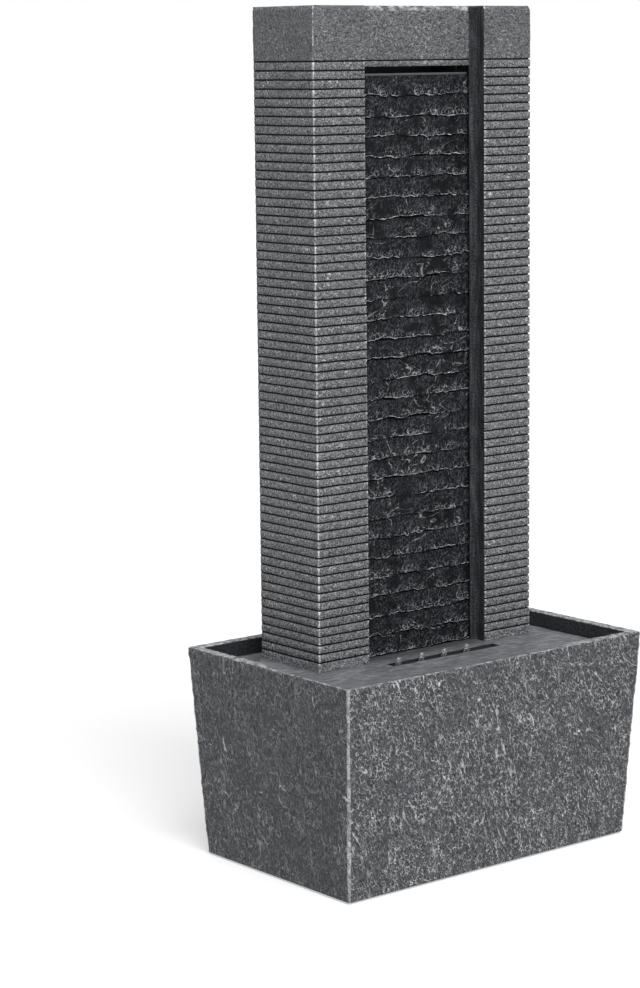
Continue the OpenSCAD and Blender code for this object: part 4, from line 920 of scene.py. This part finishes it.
# Feet, drain and grommet: moulded black rubber. The feet are glued into pockets below, and the
# drain's plug and seal and the lead's grommet sit in holes in the back wall.
def moulded(name, colour, rough, grain, depth, sockets=None):
    """A moulded piece: an even colour, slightly clouded and scuffed, with the fine texture of its mould."""
    coat = new_coat(name)
    texture = coat.noise(grain, 2, 0.6)
    cloud = coat.noise(25 * mm, 2, 0.5, seed=3)
    scuff = coat.noise(3 * mm, 3, 0.7, coat.stretched((0, 0, 1), 0.6), 8).rise(0.6, 0.8)
    tone = coat.mix(cloud.rise(0.3, 0.7), [c * 0.88 for c in colour], [min(1.0, c * 1.15) for c in colour])
    tone = coat.mix(scuff * 0.25, tone, [min(1.0, c * 1.4 + 0.02) for c in colour])
    return coat.finish(tone, rough + (texture - 0.5) * 0.15, texture, depth, sockets)


def dress(finish, *names):
    """Gives a finish to nodes whose own shape stays."""
    for name in names:
        give_finish(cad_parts[name], finish)


rubber = moulded("rubber", (0.02, 0.02, 0.021), 0.82, 0.7 * mm, 0.08 * mm)
dress(rubber, "foot_front_left", "foot_front_right", "foot_back_left", "foot_back_right", "drain_plug",
      "drain_seal", "cable_grommet")


# Pump: a small submerged pump that stands on four silicone cups on the basin's floor. Its black
# housing holds the iron core and the coil, sealed off, and the rotor turns on a ceramic shaft.
def layered(name, colour, between, pitch, direction, rough, metallic):
    """Thin sheets or turns of wire side by side: a wave along an axis, darker in between."""
    coat = new_coat(name)
    wave = coat.node("ShaderNodeTexWave", {"bands_direction": direction},
                     {"Vector": coat.place(), "Scale": math.pi / 10 / pitch}, "Fac")
    speck = coat.noise(0.6 * mm, 2, 0.6)
    tone = coat.mix(wave.rise(0.12, 0.5) * (0.8 + 0.2 * speck), between, colour)
    return coat.finish(tone, rough + 0.12 * speck, wave, 0.12 * mm, {"Metallic": metallic})


housing = moulded("black housing", (0.025, 0.025, 0.027), 0.48, 0.45 * mm, 0.03 * mm)
dress(housing, "pump_body", "pump_rear_cap", "pump_cover", "intake_strainer", "outlet_barb")
dress(moulded("bush rubber", (0.018, 0.018, 0.018), 0.75, 0.5 * mm, 0.05 * mm), "chamber_seal", "front_bush",
      "rear_bush")
dress(layered("laminated iron", (0.27, 0.27, 0.28), (0.06, 0.055, 0.05), 0.5 * mm, "Z", 0.45, 0.8),
      "stator_core")
dress(layered("copper winding", (0.62, 0.29, 0.12), (0.16, 0.06, 0.02), 0.45 * mm, "X", 0.32, 0.85),
      "stator_coil")
dress(moulded("impeller plastic", (0.70, 0.71, 0.72), 0.42, 0.5 * mm, 0.02 * mm), "impeller", "flow_knob")
dress(moulded("sintered magnet", (0.05, 0.05, 0.055), 0.5, 0.35 * mm, 0.03 * mm), "rotor_magnet")
dress(moulded("white ceramic", (0.85, 0.84, 0.80), 0.12, 0.3 * mm, 0.003 * mm, {"Coat Weight": 0.4}),
      "impeller_shaft")
dress(moulded("clear silicone", (0.56, 0.58, 0.59), 0.38, 0.8 * mm, 0.03 * mm,
              {"Transmission Weight": 0.35, "IOR": 1.41}), "suction_cups")

sponge = new_coat("open foam")
pores = sponge.node("ShaderNodeTexVoronoi", {"feature": "F1"},
                    {"Vector": sponge.place(), "Scale": 1 / (1.3 * mm)}, "Distance")
strand = pores.rise(0.25, 0.62)
dress(sponge.finish(sponge.mix(strand, (0.006, 0.007, 0.008), (0.075, 0.082, 0.09)), 0.92, strand, 0.7 * mm),
      "filter_foam")


# Riser hose: smoke-clear vinyl from the pump's barb up to the trough, held by a steel clamp at
# the top and a clip on the web.
vinyl = new_coat("clear vinyl")
haze = vinyl.noise(9 * mm, 3, 0.6, vinyl.stretched((0, 0, 1), 0.8))
droplets = vinyl.noise(1.6 * mm, 2, 0.6, seed=4).rise(0.62, 0.72)
dress(vinyl.finish(vinyl.mix(haze.rise(0.35, 0.7), (0.42, 0.46, 0.48), (0.56, 0.60, 0.62)),
                   0.16 + 0.22 * haze, droplets, 0.12 * mm, {"Transmission Weight": 0.55, "IOR": 1.5}),
      "riser_hose")

steel_coat = new_coat("stainless steel")
rolled = steel_coat.noise(0.3 * mm, 3, 0.7, steel_coat.stretched((0, 1, 0.1), 0.9))
smear = steel_coat.noise(7 * mm, 2, 0.5, seed=2)
steel = steel_coat.finish(steel_coat.mix(rolled, (0.48, 0.49, 0.50), (0.72, 0.73, 0.74)),
                          0.24 + 0.14 * rolled + 0.14 * smear, rolled, 0.015 * mm, {"Metallic": 1.0})
dress(steel, "hose_clamp", "hose_clamp_screw", "hose_clip_screws", "panel_screws", "trough_screws",
      "back_cover_screws", "tower_bolts", "tower_washers", "tower_nuts", "led_bar_screws")


# Back of the tower: a grey moulded cover, screwed to the shell's posts, and behind the header
# the trough that the water rises into and spills from.
grey_moulding = moulded("grey moulding", (0.08, 0.083, 0.088), 0.58, 0.6 * mm, 0.06 * mm)
dress(grey_moulding, "back_cover", "spill_trough")


# Lights: four clear domes on a small green board, in a black bar screwed under the slot. Each
# dome holds a steel cup on a post, and the lead runs down inside to the pump's socket.
def turned(name, profile, centre, sides=28):
    """A profile of radii and heights in millimetres, turned about an upright axis and capped at both ends."""
    turn = np.linspace(0, 2 * np.pi, sides, endpoint=False)
    radius, height = np.array(profile).T[..., None] * mm
    ring = np.stack(np.broadcast_arrays(radius * np.cos(turn), radius * np.sin(turn), height), -1)
    return new_mesh(name, ring + np.array(centre), capped_faces(len(profile), sides), None, 35)


black_moulding = moulded("black moulding", (0.024, 0.024, 0.026), 0.55, 0.5 * mm, 0.04 * mm)
dress(black_moulding, "led_bar", "led_bar_cap", "led_plug", "hose_clip")
dress(moulded("cable sheath", (0.018, 0.018, 0.018), 0.62, 0.9 * mm, 0.03 * mm), "led_lead")

board = new_coat("lacquered board")
tracks = board.wrinkles(2.4 * mm, 0.09, 0, board.stretched((1, 0, 0), 0.7))
dress(board.finish(board.mix(tracks, (0.012, 0.085, 0.035), (0.05, 0.20, 0.09)), 0.3, tracks, 0.05 * mm,
                   {"Coat Weight": 0.3}), "led_board")

epoxy = new_coat("clear epoxy")
flow_marks = epoxy.noise(1.5 * mm, 2, 0.5)
clear = epoxy.finish(epoxy.mix(flow_marks, (0.93, 0.95, 0.97), (0.99, 0.99, 1.0)), 0.04 + 0.05 * flow_marks,
                     flow_marks, 0.01 * mm, {"Transmission Weight": 0.92, "IOR": 1.54})
cup_coat = new_coat("cup metal")
tarnish = cup_coat.noise(0.7 * mm, 2, 0.6)
cup_metal = cup_coat.finish(cup_coat.mix(tarnish, (0.10, 0.10, 0.11), (0.34, 0.34, 0.35)),
                            0.3 + 0.2 * tarnish, tarnish, 0.02 * mm, {"Metallic": 0.9})
cup_profile = [(0.55, -2.0), (0.55, 2.2), (1.35, 3.4), (1.35, 3.8), (1.15, 3.8), (0.6, 3.0), (0.3, 2.9)]
cup_below_top = 8.6 * mm
for number in range(1, 5):
    name = f"led_{number}"
    dress(clear, name)
    cup_place = middle(name)
    cup_place.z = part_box(name)[1].z - cup_below_top
    cup = turned(f"{name}_cup", cup_profile, cup_place)
    give_finish(cup, cup_metal)
    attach(cup, "tower_unit")
